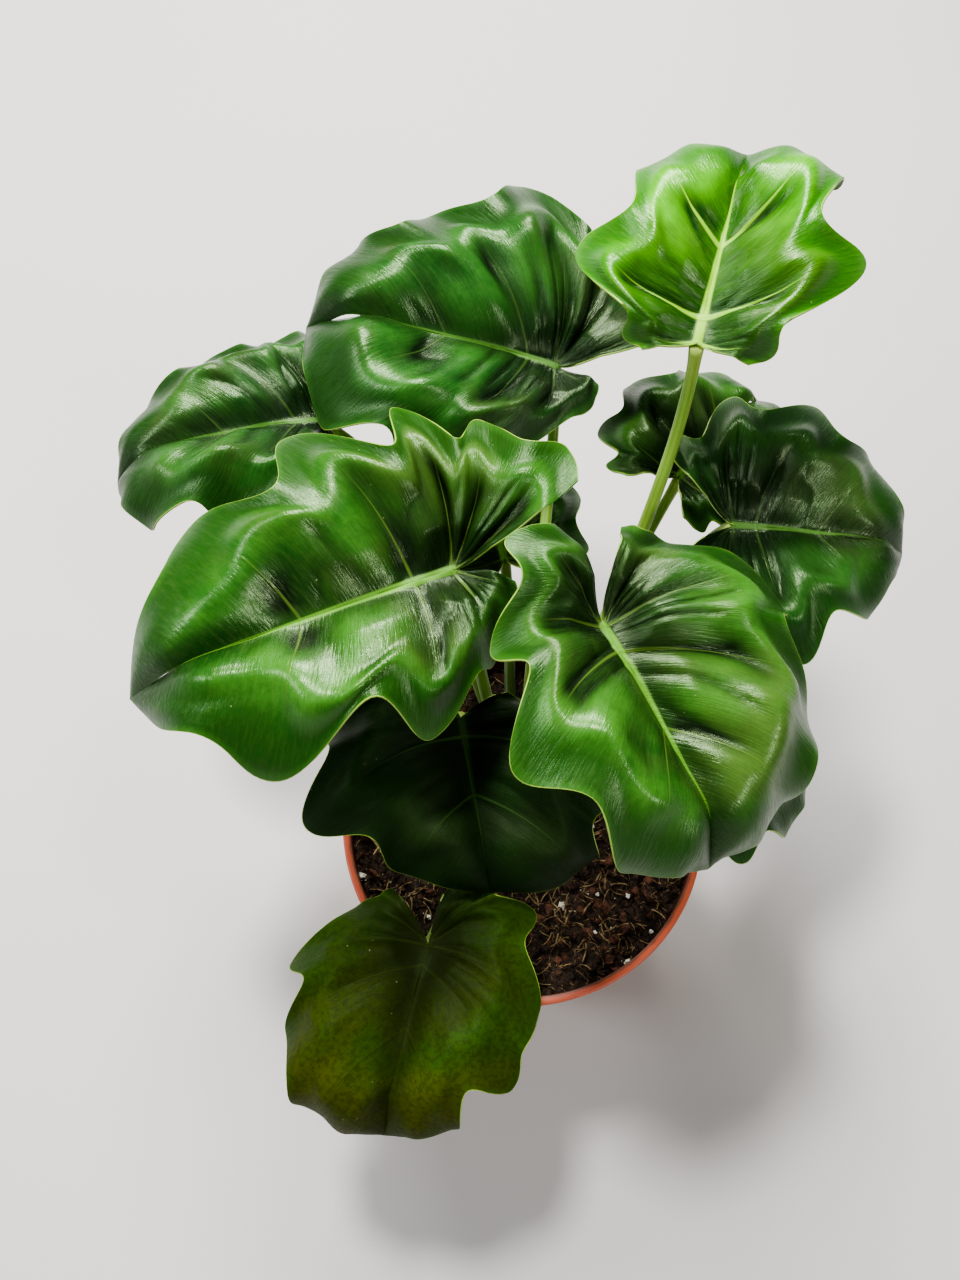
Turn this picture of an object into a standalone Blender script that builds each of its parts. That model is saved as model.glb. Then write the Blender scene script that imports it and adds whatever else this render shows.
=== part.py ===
import math

import bmesh
import bpy
import numpy as np
from mathutils import Vector

# Potted atom philodendron. Lengths are in metres, angles in degrees, +Z is up.
# The origin is the middle of the pot's base, where it stands.

# pot
POT_HEIGHT = 0.100
POT_RIM_RADIUS = 0.060
POT_LIP_HEIGHT = 0.0022
POT_COLLAR_RADIUS = 0.0586
POT_COLLAR_BOTTOM = 0.083
POT_BODY_TOP_RADIUS = 0.0562
POT_BASE_RADIUS = 0.042
POT_WALL = 0.0014
POT_FLOOR = 0.0018
POT_EDGE = 0.0015
LIP_EDGE = 0.0006
SMALL_EDGE = 0.0003
POT_STEPS = 48
DRAIN_HOLE_RADIUS = 0.0045
DRAIN_HOLE_RING = 0.027
DRAIN_HOLE_COUNT = 6
DRAIN_HOLE_SIDES = 16
CUT_PAST = 0.005

# soil
GAP = 0.0003
SOIL_TOP = 0.0915
SOIL_MOUND = 0.0025
SOIL_BUMP = 0.0007
SOIL_SECOND_BUMP = 0.6
SOIL_RINGS = 5
SOIL_WAVES = (310.0, 270.0, 520.0, 410.0)

# crown, the short stub that every stem springs from
CROWN_CENTRE = (0.0, 0.008)
CROWN_RADIUS = 0.0085
CROWN_BOTTOM = 0.062
CROWN_TOP = 0.122
CROWN_DOME = 0.006
CROWN_DOME_STEPS = 4
CROWN_STEPS = 24

# stems
STEM_BASE_RADIUS = 0.0021
STEM_TIP_RADIUS = 0.0017
STEM_POINTS = 11
STEM_START_PULL = 0.40
STEM_END_PULL = 0.30

# leaves
BLADE_THICKNESS = 0.0009
ROW_STEPS = (0.0, 0.2, 0.5, 0.8)
PAST_LAST_LOBE = 0.45
END_TURN = 28.0
END_PAST_BACK = 14.0
END_REACH = 0.8
COLUMNS = (0.0, 0.12, 0.30, 0.52, 0.76, 1.0)
NOTCH_CURVE = 2.2
NOTCH_PAST_LAST_LOBE = 0.06
BLADE_RISE = 0.15
BLADE_CREST = 0.55
PILLOW_HEIGHT = 0.080
PILLOW_SHAPE = 0.8
PILLOW_START = 0.20
PILLOW_END = 0.50
PILLOW_FADE = 0.35
CREASE_WIDTH = 0.25
MARGIN_WAVE = 0.070
MARGIN_WAVE_GROWTH = 1.5
MARGIN_CURL = 0.08
BASAL_LIFT = 0.45
LIFT_CURVE = 1.3
FLAT_CENTRE = 0.011
LIFT_FROM = 95.0
LIFT_SPAN = 65.0
BACK_ANGLE = 170.0
VEIN_ROWS = 3.3
VEIN_CROWDING = 2.4
VEIN_MERGE = 0.03
VEIN_LEAD = 16.0
VEIN_LEAD_REACH = 0.025
DROOP_CURVE = 1.4
DROOP_END = 1.2
DROOP_STEPS = 241
TIP_ROLL = 30.0
TIP_ROLL_FROM = 0.68

# Each leaf: where its stem meets it, the way its tip points (0 is +X, 90 is +Y),
# its tilt, its midrib's length and droop, and its lobes from the tip to the base
# as (angle from the tip, reach, notch before it as a share of the vein). A stem
# leaves the crown at a height and a bearing, and meets the blade at an angle.
LEAVES = {
    "left": dict(
        junction=(-0.022, 0.046, 0.198), heading=200, pitch=0, roll=-10,
        length=0.104, droop=25,
        left=(
            (30, 0.077, 0.26), (65, 0.048, 0.36), (95, 0.029, 0.14), (130, 0.021, 0.12)),
        right=(
            (30, 0.076, 0.14), (60, 0.063, 0.30), (93, 0.051, 0.36), (120, 0.044, 0.26), (155, 0.043, 0.12)),
        stem_height=0.110, stem_bearing=140, stem_slope=60, stem_meets=75,
    ),
    "front": dict(
        junction=(0.018, 0.023, 0.212), heading=-60, pitch=-5, roll=-15,
        length=0.072, droop=30,
        left=(
            (20, 0.074, 0.08), (45, 0.067, 0.10), (75, 0.058, 0.30), (115, 0.034, 0.10)),
        right=(
            (20, 0.067, 0.10), (60, 0.048, 0.18), (105, 0.032, 0.26), (150, 0.033, 0.16)),
        stem_height=0.110, stem_bearing=45, stem_slope=50, stem_meets=85,
    ),
    "low_front": dict(
        junction=(-0.020, 0.019, 0.150), heading=-80, pitch=-5, roll=0,
        length=0.056, droop=30,
        left=(
            (30, 0.065, 0.14), (55, 0.051, 0.20), (95, 0.021, 0.16)),
        right=(
            (30, 0.051, 0.06), (65, 0.057, 0.20), (95, 0.040, 0.16), (130, 0.028, 0.14)),
        stem_height=0.100, stem_bearing=190, stem_slope=50, stem_meets=85,
    ),
    "hanging": dict(
        junction=(-0.030, -0.044, 0.118), heading=-105, pitch=0, roll=5,
        length=0.061, droop=30,
        left=(
            (20, 0.058, 0.08), (45, 0.051, 0.26), (75, 0.040, 0.08), (120, 0.034, 0.18), (145, 0.024, 0.12)),
        right=(
            (20, 0.069, 0.06), (45, 0.053, 0.12), (70, 0.043, 0.20), (105, 0.026, 0.14)),
        stem_height=0.094, stem_bearing=240, stem_slope=30, stem_meets=25,
    ),
    "back": dict(
        junction=(0.009, 0.122, 0.184), heading=170, pitch=15, roll=-5,
        length=0.083, droop=30,
        left=(
            (25, 0.078, 0.12), (50, 0.056, 0.14), (80, 0.029, 0.16), (140, 0.017, 0.14)),
        right=(
            (20, 0.079, 0.10), (40, 0.066, 0.16), (70, 0.067, 0.18), (100, 0.052, 0.28), (145, 0.044, 0.16)),
        stem_height=0.106, stem_bearing=90, stem_slope=60, stem_meets=70,
    ),
    "far_left": dict(
        junction=(-0.064, 0.110, 0.172), heading=190, pitch=5, roll=10,
        length=0.072, droop=30,
        left=(
            (20, 0.066, 0.06), (45, 0.046, 0.12), (80, 0.030, 0.12)),
        right=(
            (20, 0.063, 0.14), (40, 0.052, 0.20), (65, 0.042, 0.20), (95, 0.040, 0.16)),
        stem_height=0.100, stem_bearing=125, stem_slope=55, stem_meets=40,
    ),
    "bright": dict(
        junction=(0.042, 0.090, 0.242), heading=75, pitch=15, roll=-5,
        length=0.064, droop=20,
        left=(
            (25, 0.060, 0.12), (60, 0.044, 0.36), (95, 0.018, 0.34)),
        right=(
            (20, 0.070, 0.14), (50, 0.048, 0.38), (90, 0.019, 0.34)),
        stem_height=0.100, stem_bearing=55, stem_slope=60, stem_meets=70,
    ),
    "right": dict(
        junction=(0.060, 0.066, 0.186), heading=-5, pitch=0, roll=10,
        length=0.058, droop=30,
        left=(
            (30, 0.052, 0.16), (60, 0.047, 0.24), (95, 0.040, 0.20), (130, 0.030, 0.22)),
        right=(
            (25, 0.050, 0.14), (60, 0.046, 0.28), (90, 0.036, 0.18), (125, 0.026, 0.22)),
        stem_height=0.095, stem_bearing=25, stem_slope=45, stem_meets=60,
    ),
    "low_right": dict(
        junction=(0.046, 0.006, 0.152), heading=0, pitch=-5, roll=0,
        length=0.046, droop=35,
        left=(
            (30, 0.040, 0.16), (65, 0.034, 0.22), (95, 0.027, 0.18), (130, 0.021, 0.16)),
        right=(
            (30, 0.041, 0.16), (60, 0.036, 0.20), (95, 0.028, 0.24), (130, 0.020, 0.16)),
        stem_height=0.093, stem_bearing=-15, stem_slope=40, stem_meets=60,
    ),
    "low_back_left": dict(
        junction=(-0.006, 0.082, 0.130), heading=105, pitch=0, roll=0,
        length=0.050, droop=30,
        left=(
            (30, 0.042, 0.16), (60, 0.033, 0.24), (95, 0.026, 0.18), (130, 0.020, 0.16)),
        right=(
            (30, 0.044, 0.18), (60, 0.037, 0.22), (95, 0.029, 0.20), (130, 0.022, 0.16)),
        stem_height=0.092, stem_bearing=105, stem_slope=35, stem_meets=50,
    ),
    "low_back_right": dict(
        junction=(0.050, 0.098, 0.158), heading=50, pitch=0, roll=0,
        length=0.054, droop=35,
        left=(
            (30, 0.047, 0.16), (60, 0.040, 0.26), (95, 0.031, 0.18), (130, 0.023, 0.18)),
        right=(
            (30, 0.046, 0.16), (60, 0.038, 0.20), (95, 0.030, 0.24), (130, 0.022, 0.16)),
        stem_height=0.092, stem_bearing=65, stem_slope=40, stem_meets=55,
    ),
}

for old in list(bpy.data.objects):
    bpy.data.objects.remove(old, do_unlink=True)

plant = bpy.data.collections.new("potted_atom_philodendron")
bpy.context.scene.collection.children.link(plant)
cutters = bpy.data.collections.new("cutters")
bpy.context.scene.collection.children.link(cutters)


def make_material(name, colour, roughness):
    material = bpy.data.materials.new(name)
    material.use_nodes = True
    shader = material.node_tree.nodes["Principled BSDF"]
    shader.inputs["Base Color"].default_value = (*colour, 1.0)
    shader.inputs["Roughness"].default_value = roughness
    return material


def add_object(name, data, material, collection=plant):
    obj = bpy.data.objects.new(name, data)
    collection.objects.link(obj)
    if material is not None:
        data.materials.append(material)
    return obj


def add_cutter(name, data):
    obj = add_object(name, data, None, cutters)
    obj.hide_render = True
    obj.display_type = "WIRE"
    return obj


def subtract(obj, cutter):
    cut = obj.modifiers.new("cut_" + cutter.name, "BOOLEAN")
    cut.operation = "DIFFERENCE"
    cut.solver = "EXACT"
    cut.object = cutter


def profile_mesh(name, points):
    # points are (radius, height) pairs joined into one line
    mesh = bpy.data.meshes.new(name)
    edges = [(i, i + 1) for i in range(len(points) - 1)]
    mesh.from_pydata([(r, 0.0, z) for r, z in points], edges, [])
    return mesh


def add_screw(obj, steps):
    screw = obj.modifiers.new("turn", "SCREW")
    screw.angle = 2 * math.pi
    screw.steps = steps
    screw.render_steps = steps
    screw.use_merge_vertices = True
    screw.merge_threshold = 0.00005
    screw.use_smooth_shade = False


def solid_copy(obj):
    # the object's finished shape as a plain mesh, with double points welded
    bpy.context.view_layer.update()
    evaluated = obj.evaluated_get(bpy.context.evaluated_depsgraph_get())
    mesh = bpy.data.meshes.new_from_object(evaluated)
    work = bmesh.new()
    work.from_mesh(mesh)
    bmesh.ops.remove_doubles(work, verts=work.verts, dist=0.00001)
    work.to_mesh(mesh)
    work.free()
    return mesh


def replace_with_mesh(obj, name, material):
    mesh = solid_copy(obj)
    place = obj.matrix_world.copy()
    bpy.data.objects.remove(obj, do_unlink=True)
    mesh.materials.clear()
    solid = add_object(name, mesh, material)
    solid.matrix_world = place
    return solid


def make_pot(material):
    # inside from the middle of the floor up to the lip, then down the outside
    inner_top = POT_COLLAR_RADIUS - POT_WALL
    lip_bottom = POT_HEIGHT - POT_LIP_HEIGHT
    step_bottom = POT_COLLAR_BOTTOM - 2 * POT_WALL
    points = [
        (0.0, POT_FLOOR),
        (POT_BASE_RADIUS - POT_WALL - POT_EDGE, POT_FLOOR),
        (POT_BASE_RADIUS - POT_WALL, POT_FLOOR + POT_EDGE),
        (POT_BODY_TOP_RADIUS - POT_WALL, step_bottom + POT_WALL),
        (inner_top, POT_COLLAR_BOTTOM + POT_WALL),
        (inner_top, POT_HEIGHT - SMALL_EDGE),
        (inner_top + SMALL_EDGE, POT_HEIGHT),
        (POT_RIM_RADIUS - LIP_EDGE, POT_HEIGHT),
        (POT_RIM_RADIUS, POT_HEIGHT - LIP_EDGE),
        (POT_RIM_RADIUS, lip_bottom + SMALL_EDGE),
        (POT_RIM_RADIUS - SMALL_EDGE, lip_bottom),
        (POT_COLLAR_RADIUS, lip_bottom - SMALL_EDGE),
        (POT_COLLAR_RADIUS, POT_COLLAR_BOTTOM),
        (POT_BODY_TOP_RADIUS, step_bottom),
        (POT_BASE_RADIUS, POT_EDGE),
        (POT_BASE_RADIUS - POT_EDGE, 0.0),
        (0.0, 0.0),
    ]
    pot = add_object("pot", profile_mesh("pot", points), material)
    add_screw(pot, POT_STEPS)
    for i in range(DRAIN_HOLE_COUNT):
        angle = 2 * math.pi * i / DRAIN_HOLE_COUNT
        mesh = cylinder_mesh(
            "drain_hole", DRAIN_HOLE_RADIUS, -CUT_PAST, POT_FLOOR + CUT_PAST, DRAIN_HOLE_SIDES)
        hole = add_cutter("drain_hole_%d" % (i + 1), mesh)
        hole.location = (DRAIN_HOLE_RING * math.cos(angle), DRAIN_HOLE_RING * math.sin(angle), 0.0)
        subtract(pot, hole)
    return pot


def cylinder_mesh(name, radius, bottom, top, sides):
    mesh = bpy.data.meshes.new(name)
    work = bmesh.new()
    bmesh.ops.create_cone(
        work, cap_ends=True, segments=sides, radius1=radius, radius2=radius, depth=top - bottom)
    bmesh.ops.translate(work, verts=work.verts, vec=(0.0, 0.0, (top + bottom) / 2))
    work.to_mesh(mesh)
    work.free()
    return mesh


def soil_height(x, y):
    # a low mound with fixed small bumps
    reach = math.hypot(x, y) / POT_COLLAR_RADIUS
    mound = SOIL_MOUND * (1 - reach * reach)
    first, second, third, fourth = SOIL_WAVES
    bumps = math.sin(first * x) * math.cos(second * y) + SOIL_SECOND_BUMP * math.sin(third * y + fourth * x)
    return mound + SOIL_BUMP * bumps * (1 - reach ** 4)


def make_soil(material):
    wall = POT_COLLAR_RADIUS - POT_WALL - GAP
    body = POT_BODY_TOP_RADIUS - POT_WALL - GAP
    step = POT_COLLAR_BOTTOM - POT_WALL
    foot = POT_BASE_RADIUS - POT_WALL - GAP
    points = [(wall * i / SOIL_RINGS, SOIL_TOP) for i in range(SOIL_RINGS + 1)]
    points += [
        (wall, POT_COLLAR_BOTTOM + POT_WALL + 2 * GAP),
        (body, step + GAP),
        (foot, POT_FLOOR + POT_EDGE + GAP),
        (foot - POT_EDGE, POT_FLOOR + GAP),
        (0.0, POT_FLOOR + GAP),
    ]
    turned = add_object("soil_turned", profile_mesh("soil", points), material)
    add_screw(turned, POT_STEPS)
    soil = replace_with_mesh(turned, "soil", material)
    work = bmesh.new()
    work.from_mesh(soil.data)
    for point in work.verts:
        if point.co.z > SOIL_TOP - GAP:
            point.co.z += soil_height(point.co.x, point.co.y)
    bmesh.ops.triangulate(work, faces=work.faces)
    work.to_mesh(soil.data)
    work.free()
    mesh = cylinder_mesh("crown_hole", CROWN_RADIUS + GAP, CROWN_BOTTOM - GAP, CROWN_TOP, CROWN_STEPS)
    hole = add_cutter("crown_hole", mesh)
    hole.location = (*CROWN_CENTRE, 0.0)
    subtract(soil, hole)
    return soil


def crown_points(extra):
    radius = CROWN_RADIUS + extra
    top = CROWN_TOP + extra
    points = [(0.0, top)]
    for i in range(1, CROWN_DOME_STEPS + 1):
        angle = math.pi / 2 * i / CROWN_DOME_STEPS
        points.append((radius * math.sin(angle), top - CROWN_DOME * (1 - math.cos(angle))))
    points += [(radius, CROWN_BOTTOM - extra), (0.0, CROWN_BOTTOM - extra)]
    return points


def make_crown(material):
    crown = add_object("crown", profile_mesh("crown", crown_points(0.0)), material)
    crown.location = (*CROWN_CENTRE, 0.0)
    add_screw(crown, CROWN_STEPS)
    return crown


def make_crown_clearance():
    cutter = add_cutter("crown_clearance", profile_mesh("crown_clearance", crown_points(GAP)))
    cutter.location = (*CROWN_CENTRE, 0.0)
    add_screw(cutter, CROWN_STEPS)
    return cutter


def smooth_values(values, where):
    # a smooth line through values at 0, 1, 2 and so on
    values = np.asarray(values, float)
    where = np.clip(where, 0, len(values) - 1 - 1e-9)
    i = where.astype(int)
    t = where - i
    ends = np.concatenate([[2 * values[0] - values[1]], values, [2 * values[-1] - values[-2]]])
    a, b, c, d = ends[i], ends[i + 1], ends[i + 2], ends[i + 3]
    return b + 0.5 * t * ((c - a) + t * ((2 * a - 5 * b + 4 * c - d) + t * (3 * (b - c) + d - a)))


def ease(share):
    share = np.clip(share, 0, 1)
    return share * share * (3 - 2 * share)


def droop_slope(along, leaf):
    roll = math.radians(TIP_ROLL) * ease((along - TIP_ROLL_FROM) / (1 - TIP_ROLL_FROM))
    return math.radians(leaf["droop"]) * along ** DROOP_CURVE + roll


def bend_droop(points, leaf):
    # the midrib bends down toward the tip
    length = leaf["length"]
    x, y, z = points[..., 0], points[..., 1], points[..., 2]
    along = np.clip(x / length, 0, DROOP_END)
    steps = np.linspace(0, DROOP_END, DROOP_STEPS)
    slope = droop_slope(steps, leaf)
    middle = (slope[1:] + slope[:-1]) / 2
    run = np.concatenate([[0], np.cumsum(np.cos(middle) * np.diff(steps))])
    fall = np.concatenate([[0], np.cumsum(np.sin(middle) * np.diff(steps))])
    here = droop_slope(along, leaf)
    ahead = np.where(x > 0, np.interp(along, steps, run) * length, x)
    down = np.where(x > 0, np.interp(along, steps, fall) * length, 0)
    return np.stack([ahead + z * np.sin(here), y, z * np.cos(here) - down], -1)


def half_blade(leaf, key, side):
    # rows run from the midrib to the margin, columns follow the margin
    lobes = leaf[key]
    length = leaf["length"]
    count = len(lobes)
    end = count + PAST_LAST_LOBE
    angles = [0.0] + [angle for angle, reach, notch in lobes]
    angles.append(min(angles[-1] + END_TURN, BACK_ANGLE + END_PAST_BACK))
    reaches = [length] + [reach for angle, reach, notch in lobes]
    reaches.append(reaches[-1] * END_REACH)
    notches = np.array([notch for angle, reach, notch in lobes] + [NOTCH_PAST_LAST_LOBE])
    rows = [lobe + step for lobe in range(count) for step in ROW_STEPS]
    rows = np.array(rows + [count, count + ROW_STEPS[1], end])
    across = np.array(COLUMNS)[None, :]
    row = rows[:, None]
    angle = np.radians(np.minimum(smooth_values(angles, row), BACK_ANGLE))
    reach = smooth_values(reaches, row)
    lobe = row.astype(int)
    notch = notches[lobe] * np.sin(math.pi * (row - lobe)) ** NOTCH_CURVE
    start = length * np.clip(1 - row / VEIN_ROWS, 0, 1) ** VEIN_CROWDING
    start = np.where(start < VEIN_MERGE * length, 0, start)
    # a vein leaves the midrib ahead of its lobe and curves out to it
    margin_x = reach * np.cos(angle)
    margin_y = reach * np.sin(angle)
    chord = np.hypot(margin_x - start, margin_y)
    lead = math.radians(VEIN_LEAD) * np.clip(chord / VEIN_LEAD_REACH, 0, 1)
    leave = np.arctan2(margin_y, margin_x - start) + lead
    middle_x = start + np.cos(leave) * chord * 0.5
    middle_y = np.sin(leave) * chord * 0.5
    # a notch cuts the margin back and leaves the middle of the blade alone
    out = across * (1 - notch * across)
    x = (1 - out) ** 2 * start + 2 * out * (1 - out) * middle_x + out ** 2 * margin_x
    y = 2 * out * (1 - out) * middle_y + out ** 2 * margin_y
    # the blade rises from the midrib, puffs up between veins and waves at its margin
    crest = out / BLADE_CREST
    between = np.hypot(np.sin(math.pi * row), CREASE_WIDTH) - CREASE_WIDTH
    puff = np.clip(out / PILLOW_START, 0, 1) ** PILLOW_SHAPE
    puff = puff * (1 - ease((out - PILLOW_END) / PILLOW_FADE))
    z = BLADE_RISE * chord * (2 * crest - crest * crest)
    z = z + PILLOW_HEIGHT * chord * between * puff
    wave = np.cos(2 * math.pi * row) * np.clip(row * MARGIN_WAVE_GROWTH, 0, 1)
    z = z - MARGIN_WAVE * chord * wave * across ** 3
    z = z - MARGIN_CURL * chord * out ** 5
    # the lobes beside the stem lift into a funnel
    turn = ease((np.degrees(angle) - LIFT_FROM) / LIFT_SPAN)
    z = z + BASAL_LIFT * chord * out ** LIFT_CURVE * turn
    # it is nearly flat where the stem meets it
    z = z * np.clip(np.hypot(x, y) / FLAT_CENTRE, 0, 1)
    return bend_droop(np.stack([x, y * side, z], -1), leaf)


def leaf_axes(leaf):
    heading, pitch, roll = (math.radians(leaf[key]) for key in ("heading", "pitch", "roll"))
    turn = np.array([
        [math.cos(heading), -math.sin(heading), 0],
        [math.sin(heading), math.cos(heading), 0],
        [0, 0, 1]])
    tip_up = np.array([
        [math.cos(pitch), 0, -math.sin(pitch)],
        [0, 1, 0],
        [math.sin(pitch), 0, math.cos(pitch)]])
    side_up = np.array([
        [1, 0, 0],
        [0, math.cos(roll), -math.sin(roll)],
        [0, math.sin(roll), math.cos(roll)]])
    return turn @ tip_up @ side_up


def make_leaf(name, leaf, material):
    # a lobed, waved blade has no primitive, so its faces are built row by row
    points = []
    numbers = {}
    faces = []

    def number_of(point):
        key = tuple(round(float(value), 7) + 0.0 for value in point)
        if key not in numbers:
            numbers[key] = len(points)
            points.append(point)
        return numbers[key]

    for key, side in (("left", 1), ("right", -1)):
        grid = half_blade(leaf, key, side)
        index = [[number_of(point) for point in line] for line in grid]
        for i in range(len(index) - 1):
            for j in range(len(COLUMNS) - 1):
                a, b = index[i][j], index[i][j + 1]
                c, d = index[i + 1][j + 1], index[i + 1][j]
                for face in ((a, b, c), (a, c, d)):
                    if len(set(face)) == 3:
                        faces.append(face if side == 1 else face[::-1])
    axes = leaf_axes(leaf)
    placed = np.array(points) @ axes.T + np.array(leaf["junction"])
    mesh = bpy.data.meshes.new(name)
    mesh.from_pydata([tuple(point) for point in placed], [], faces)
    mesh.update()
    obj = add_object(name, mesh, material)
    thick = obj.modifiers.new("thickness", "SOLIDIFY")
    thick.thickness = BLADE_THICKNESS
    thick.offset = 0.0
    return obj


def make_stem(name, leaf, clearance, material):
    # from the crown's middle out and up, then to the blade's underside
    axes = leaf_axes(leaf)
    bearing = math.radians(leaf["stem_bearing"])
    slope = math.radians(leaf["stem_slope"])
    meets = math.radians(leaf["stem_meets"])
    flat = math.cos(slope)
    away = Vector((math.cos(bearing) * flat, math.sin(bearing) * flat, math.sin(slope)))
    arrive = Vector(axes[:, 0]) * math.cos(meets) + Vector(axes[:, 2]) * math.sin(meets)
    below = BLADE_THICKNESS / 2 + 0.6 * GAP + STEM_TIP_RADIUS * math.cos(meets)
    start = Vector((*CROWN_CENTRE, leaf["stem_height"]))
    finish = Vector(leaf["junction"]) - Vector(axes[:, 2]) * below
    reach = (finish - start).length
    first = start + away * reach * STEM_START_PULL
    second = finish - arrive * reach * STEM_END_PULL
    curve = bpy.data.curves.new(name, "CURVE")
    curve.dimensions = "3D"
    curve.bevel_depth = 1.0
    curve.bevel_resolution = 1
    curve.use_fill_caps = True
    line = curve.splines.new("POLY")
    line.points.add(STEM_POINTS - 1)
    for i in range(STEM_POINTS):
        t = i / (STEM_POINTS - 1)
        early = start * (1 - t) ** 3 + first * 3 * t * (1 - t) ** 2
        late = second * 3 * t * t * (1 - t) + finish * t ** 3
        line.points[i].co = (*(early + late), 1.0)
        line.points[i].radius = STEM_BASE_RADIUS + (STEM_TIP_RADIUS - STEM_BASE_RADIUS) * t
    round_line = add_object(name + "_line", curve, material)
    stem = replace_with_mesh(round_line, name, material)
    subtract(stem, clearance)
    return stem


pot_material = make_material("terracotta_plastic", (0.42, 0.11, 0.055), 0.45)
soil_material = make_material("dark_peat", (0.035, 0.02, 0.012), 0.95)
crown_material = make_material("crown_green", (0.12, 0.20, 0.05), 0.6)
stem_material = make_material("stem_green", (0.16, 0.30, 0.05), 0.45)
leaf_material = make_material("leaf_green", (0.03, 0.14, 0.02), 0.25)

make_pot(pot_material)
make_soil(soil_material)
make_crown(crown_material)
crown_clearance = make_crown_clearance()
for place, shape in LEAVES.items():
    make_stem("stem_" + place, shape, crown_clearance, stem_material)
    make_leaf("leaf_" + place, shape, leaf_material)
bpy.context.view_layer.update()
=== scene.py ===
import math

import bpy
import numpy as np
from mathutils import Matrix, Vector, noise


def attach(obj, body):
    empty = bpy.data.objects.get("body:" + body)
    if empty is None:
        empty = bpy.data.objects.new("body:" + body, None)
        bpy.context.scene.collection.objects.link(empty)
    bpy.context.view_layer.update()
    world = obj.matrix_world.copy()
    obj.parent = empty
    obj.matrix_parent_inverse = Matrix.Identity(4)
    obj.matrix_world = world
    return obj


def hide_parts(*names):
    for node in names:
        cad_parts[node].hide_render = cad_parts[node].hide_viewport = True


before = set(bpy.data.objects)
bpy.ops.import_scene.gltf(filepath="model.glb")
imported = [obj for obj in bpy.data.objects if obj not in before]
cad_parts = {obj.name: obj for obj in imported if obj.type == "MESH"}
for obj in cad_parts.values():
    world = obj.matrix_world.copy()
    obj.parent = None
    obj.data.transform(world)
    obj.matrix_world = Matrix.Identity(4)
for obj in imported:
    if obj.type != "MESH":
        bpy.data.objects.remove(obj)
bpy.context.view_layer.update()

# Potted atom philodendron: fine blades, stems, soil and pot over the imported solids.
# Lengths are in metres and angles in degrees unless a note says otherwise.

mm = 0.001


# shared helpers

def shown(colour):
    # a colour as a screen shows it, 0 to 255, made linear
    linear = []
    for part in colour:
        level = part / 255
        linear.append(((level + 0.055) / 1.055) ** 2.4 if level > 0.04 else level / 12.92)
    return (*linear, 1.0)


def newPiece(name, mesh, *materials):
    piece = bpy.data.objects.new(name, mesh)
    bpy.context.scene.collection.objects.link(piece)
    for material in materials:
        mesh.materials.append(material)
    return piece


def settle(piece, slot, *nodes):
    # the piece stands for its solids and belongs to the plant
    if nodes:
        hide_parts(*nodes)
    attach(piece, "root")


def thicken(piece, thickness):
    # a sheet gets its thickness, half on each side
    thick = piece.modifiers.new("thickness", "SOLIDIFY")
    thick.thickness = thickness
    thick.offset = 0.0
    return thick


def evaluatedMesh(piece):
    bpy.context.view_layer.update()
    return bpy.data.meshes.new_from_object(piece.evaluated_get(bpy.context.evaluated_depsgraph_get()))


def meshFrom(name, points, faces, smooth=True):
    mesh = bpy.data.meshes.new(name)
    mesh.from_pydata([tuple(point) for point in points], [], [tuple(face) for face in faces])
    mesh.update()
    mesh.polygons.foreach_set("use_smooth", [smooth] * len(mesh.polygons))
    return mesh


def weld(points):
    # the different points, and for each old point the number of its new one
    welded, where = np.unique(np.round(np.array(points), 7) + 0.0, axis=0, return_inverse=True)
    return welded, where.ravel()


def weldedMesh(name, points, faces):
    # rings that close to a point are welded there, and faces without area go
    welded, where = weld(points)
    kept = [list(dict.fromkeys(int(where[i]) for i in face)) for face in faces]
    return meshFrom(name, welded, [face for face in kept if len(face) > 2])


def turns(sides):
    # the angles of a ring's points
    return [2 * math.pi * k / sides for k in range(sides)]


def ringPoints(profile, sides):
    # a profile of (radius, height) in mm, turned round the Z axis
    points = []
    for radius, height in profile:
        for angle in turns(sides):
            points.append((radius * math.cos(angle) * mm, radius * math.sin(angle) * mm, height * mm))
    return points


def ringFaces(rings, sides, turned=False):
    # quads between rings of points, turned over where the rings run downward
    faces = []
    for i in range(rings - 1):
        for k in range(sides):
            a, b = i * sides + k, i * sides + (k + 1) % sides
            faces.append((a, a + sides, b + sides, b) if turned else (a, b, b + sides, a + sides))
    return faces


def tubeFaces(rings, sides, turned=False):
    # the same with both ends closed
    first, last = tuple(range(sides)), tuple(range((rings - 1) * sides, rings * sides))
    ends = [first, last[::-1]] if turned else [first[::-1], last]
    return ringFaces(rings, sides, turned) + ends


def cornerValues(mesh, name, values):
    # one number for each face corner, which a material reads by name
    layer = mesh.attributes.new(name, "FLOAT", "CORNER")
    layer.data.foreach_set("value", np.asarray(values, dtype=np.float32).ravel())


def cornerMap(mesh, name, values):
    layer = mesh.uv_layers.new(name=name)
    layer.data.foreach_set("uv", np.asarray(values, dtype=np.float32).ravel())


def cellCorners(left, right, low, high):
    return [(left, low), (right, low), (right, high), (left, high)]


def fillIn(tree, sockets, given):
    # each input named in given takes a link or a value, and keeps its own for None
    for name, value in given.items():
        if isinstance(value, bpy.types.NodeSocket):
            tree.links.new(value, sockets[name])
        elif value is not None:
            sockets[name].default_value = value


def addNode(tree, kind, given, result, **settings):
    # a node with its settings and inputs, and the output asked for
    made = tree.nodes.new(kind)
    for key, value in settings.items():
        setattr(made, key, value)
    fillIn(tree, made.inputs, given)
    return made.outputs[result]


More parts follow.
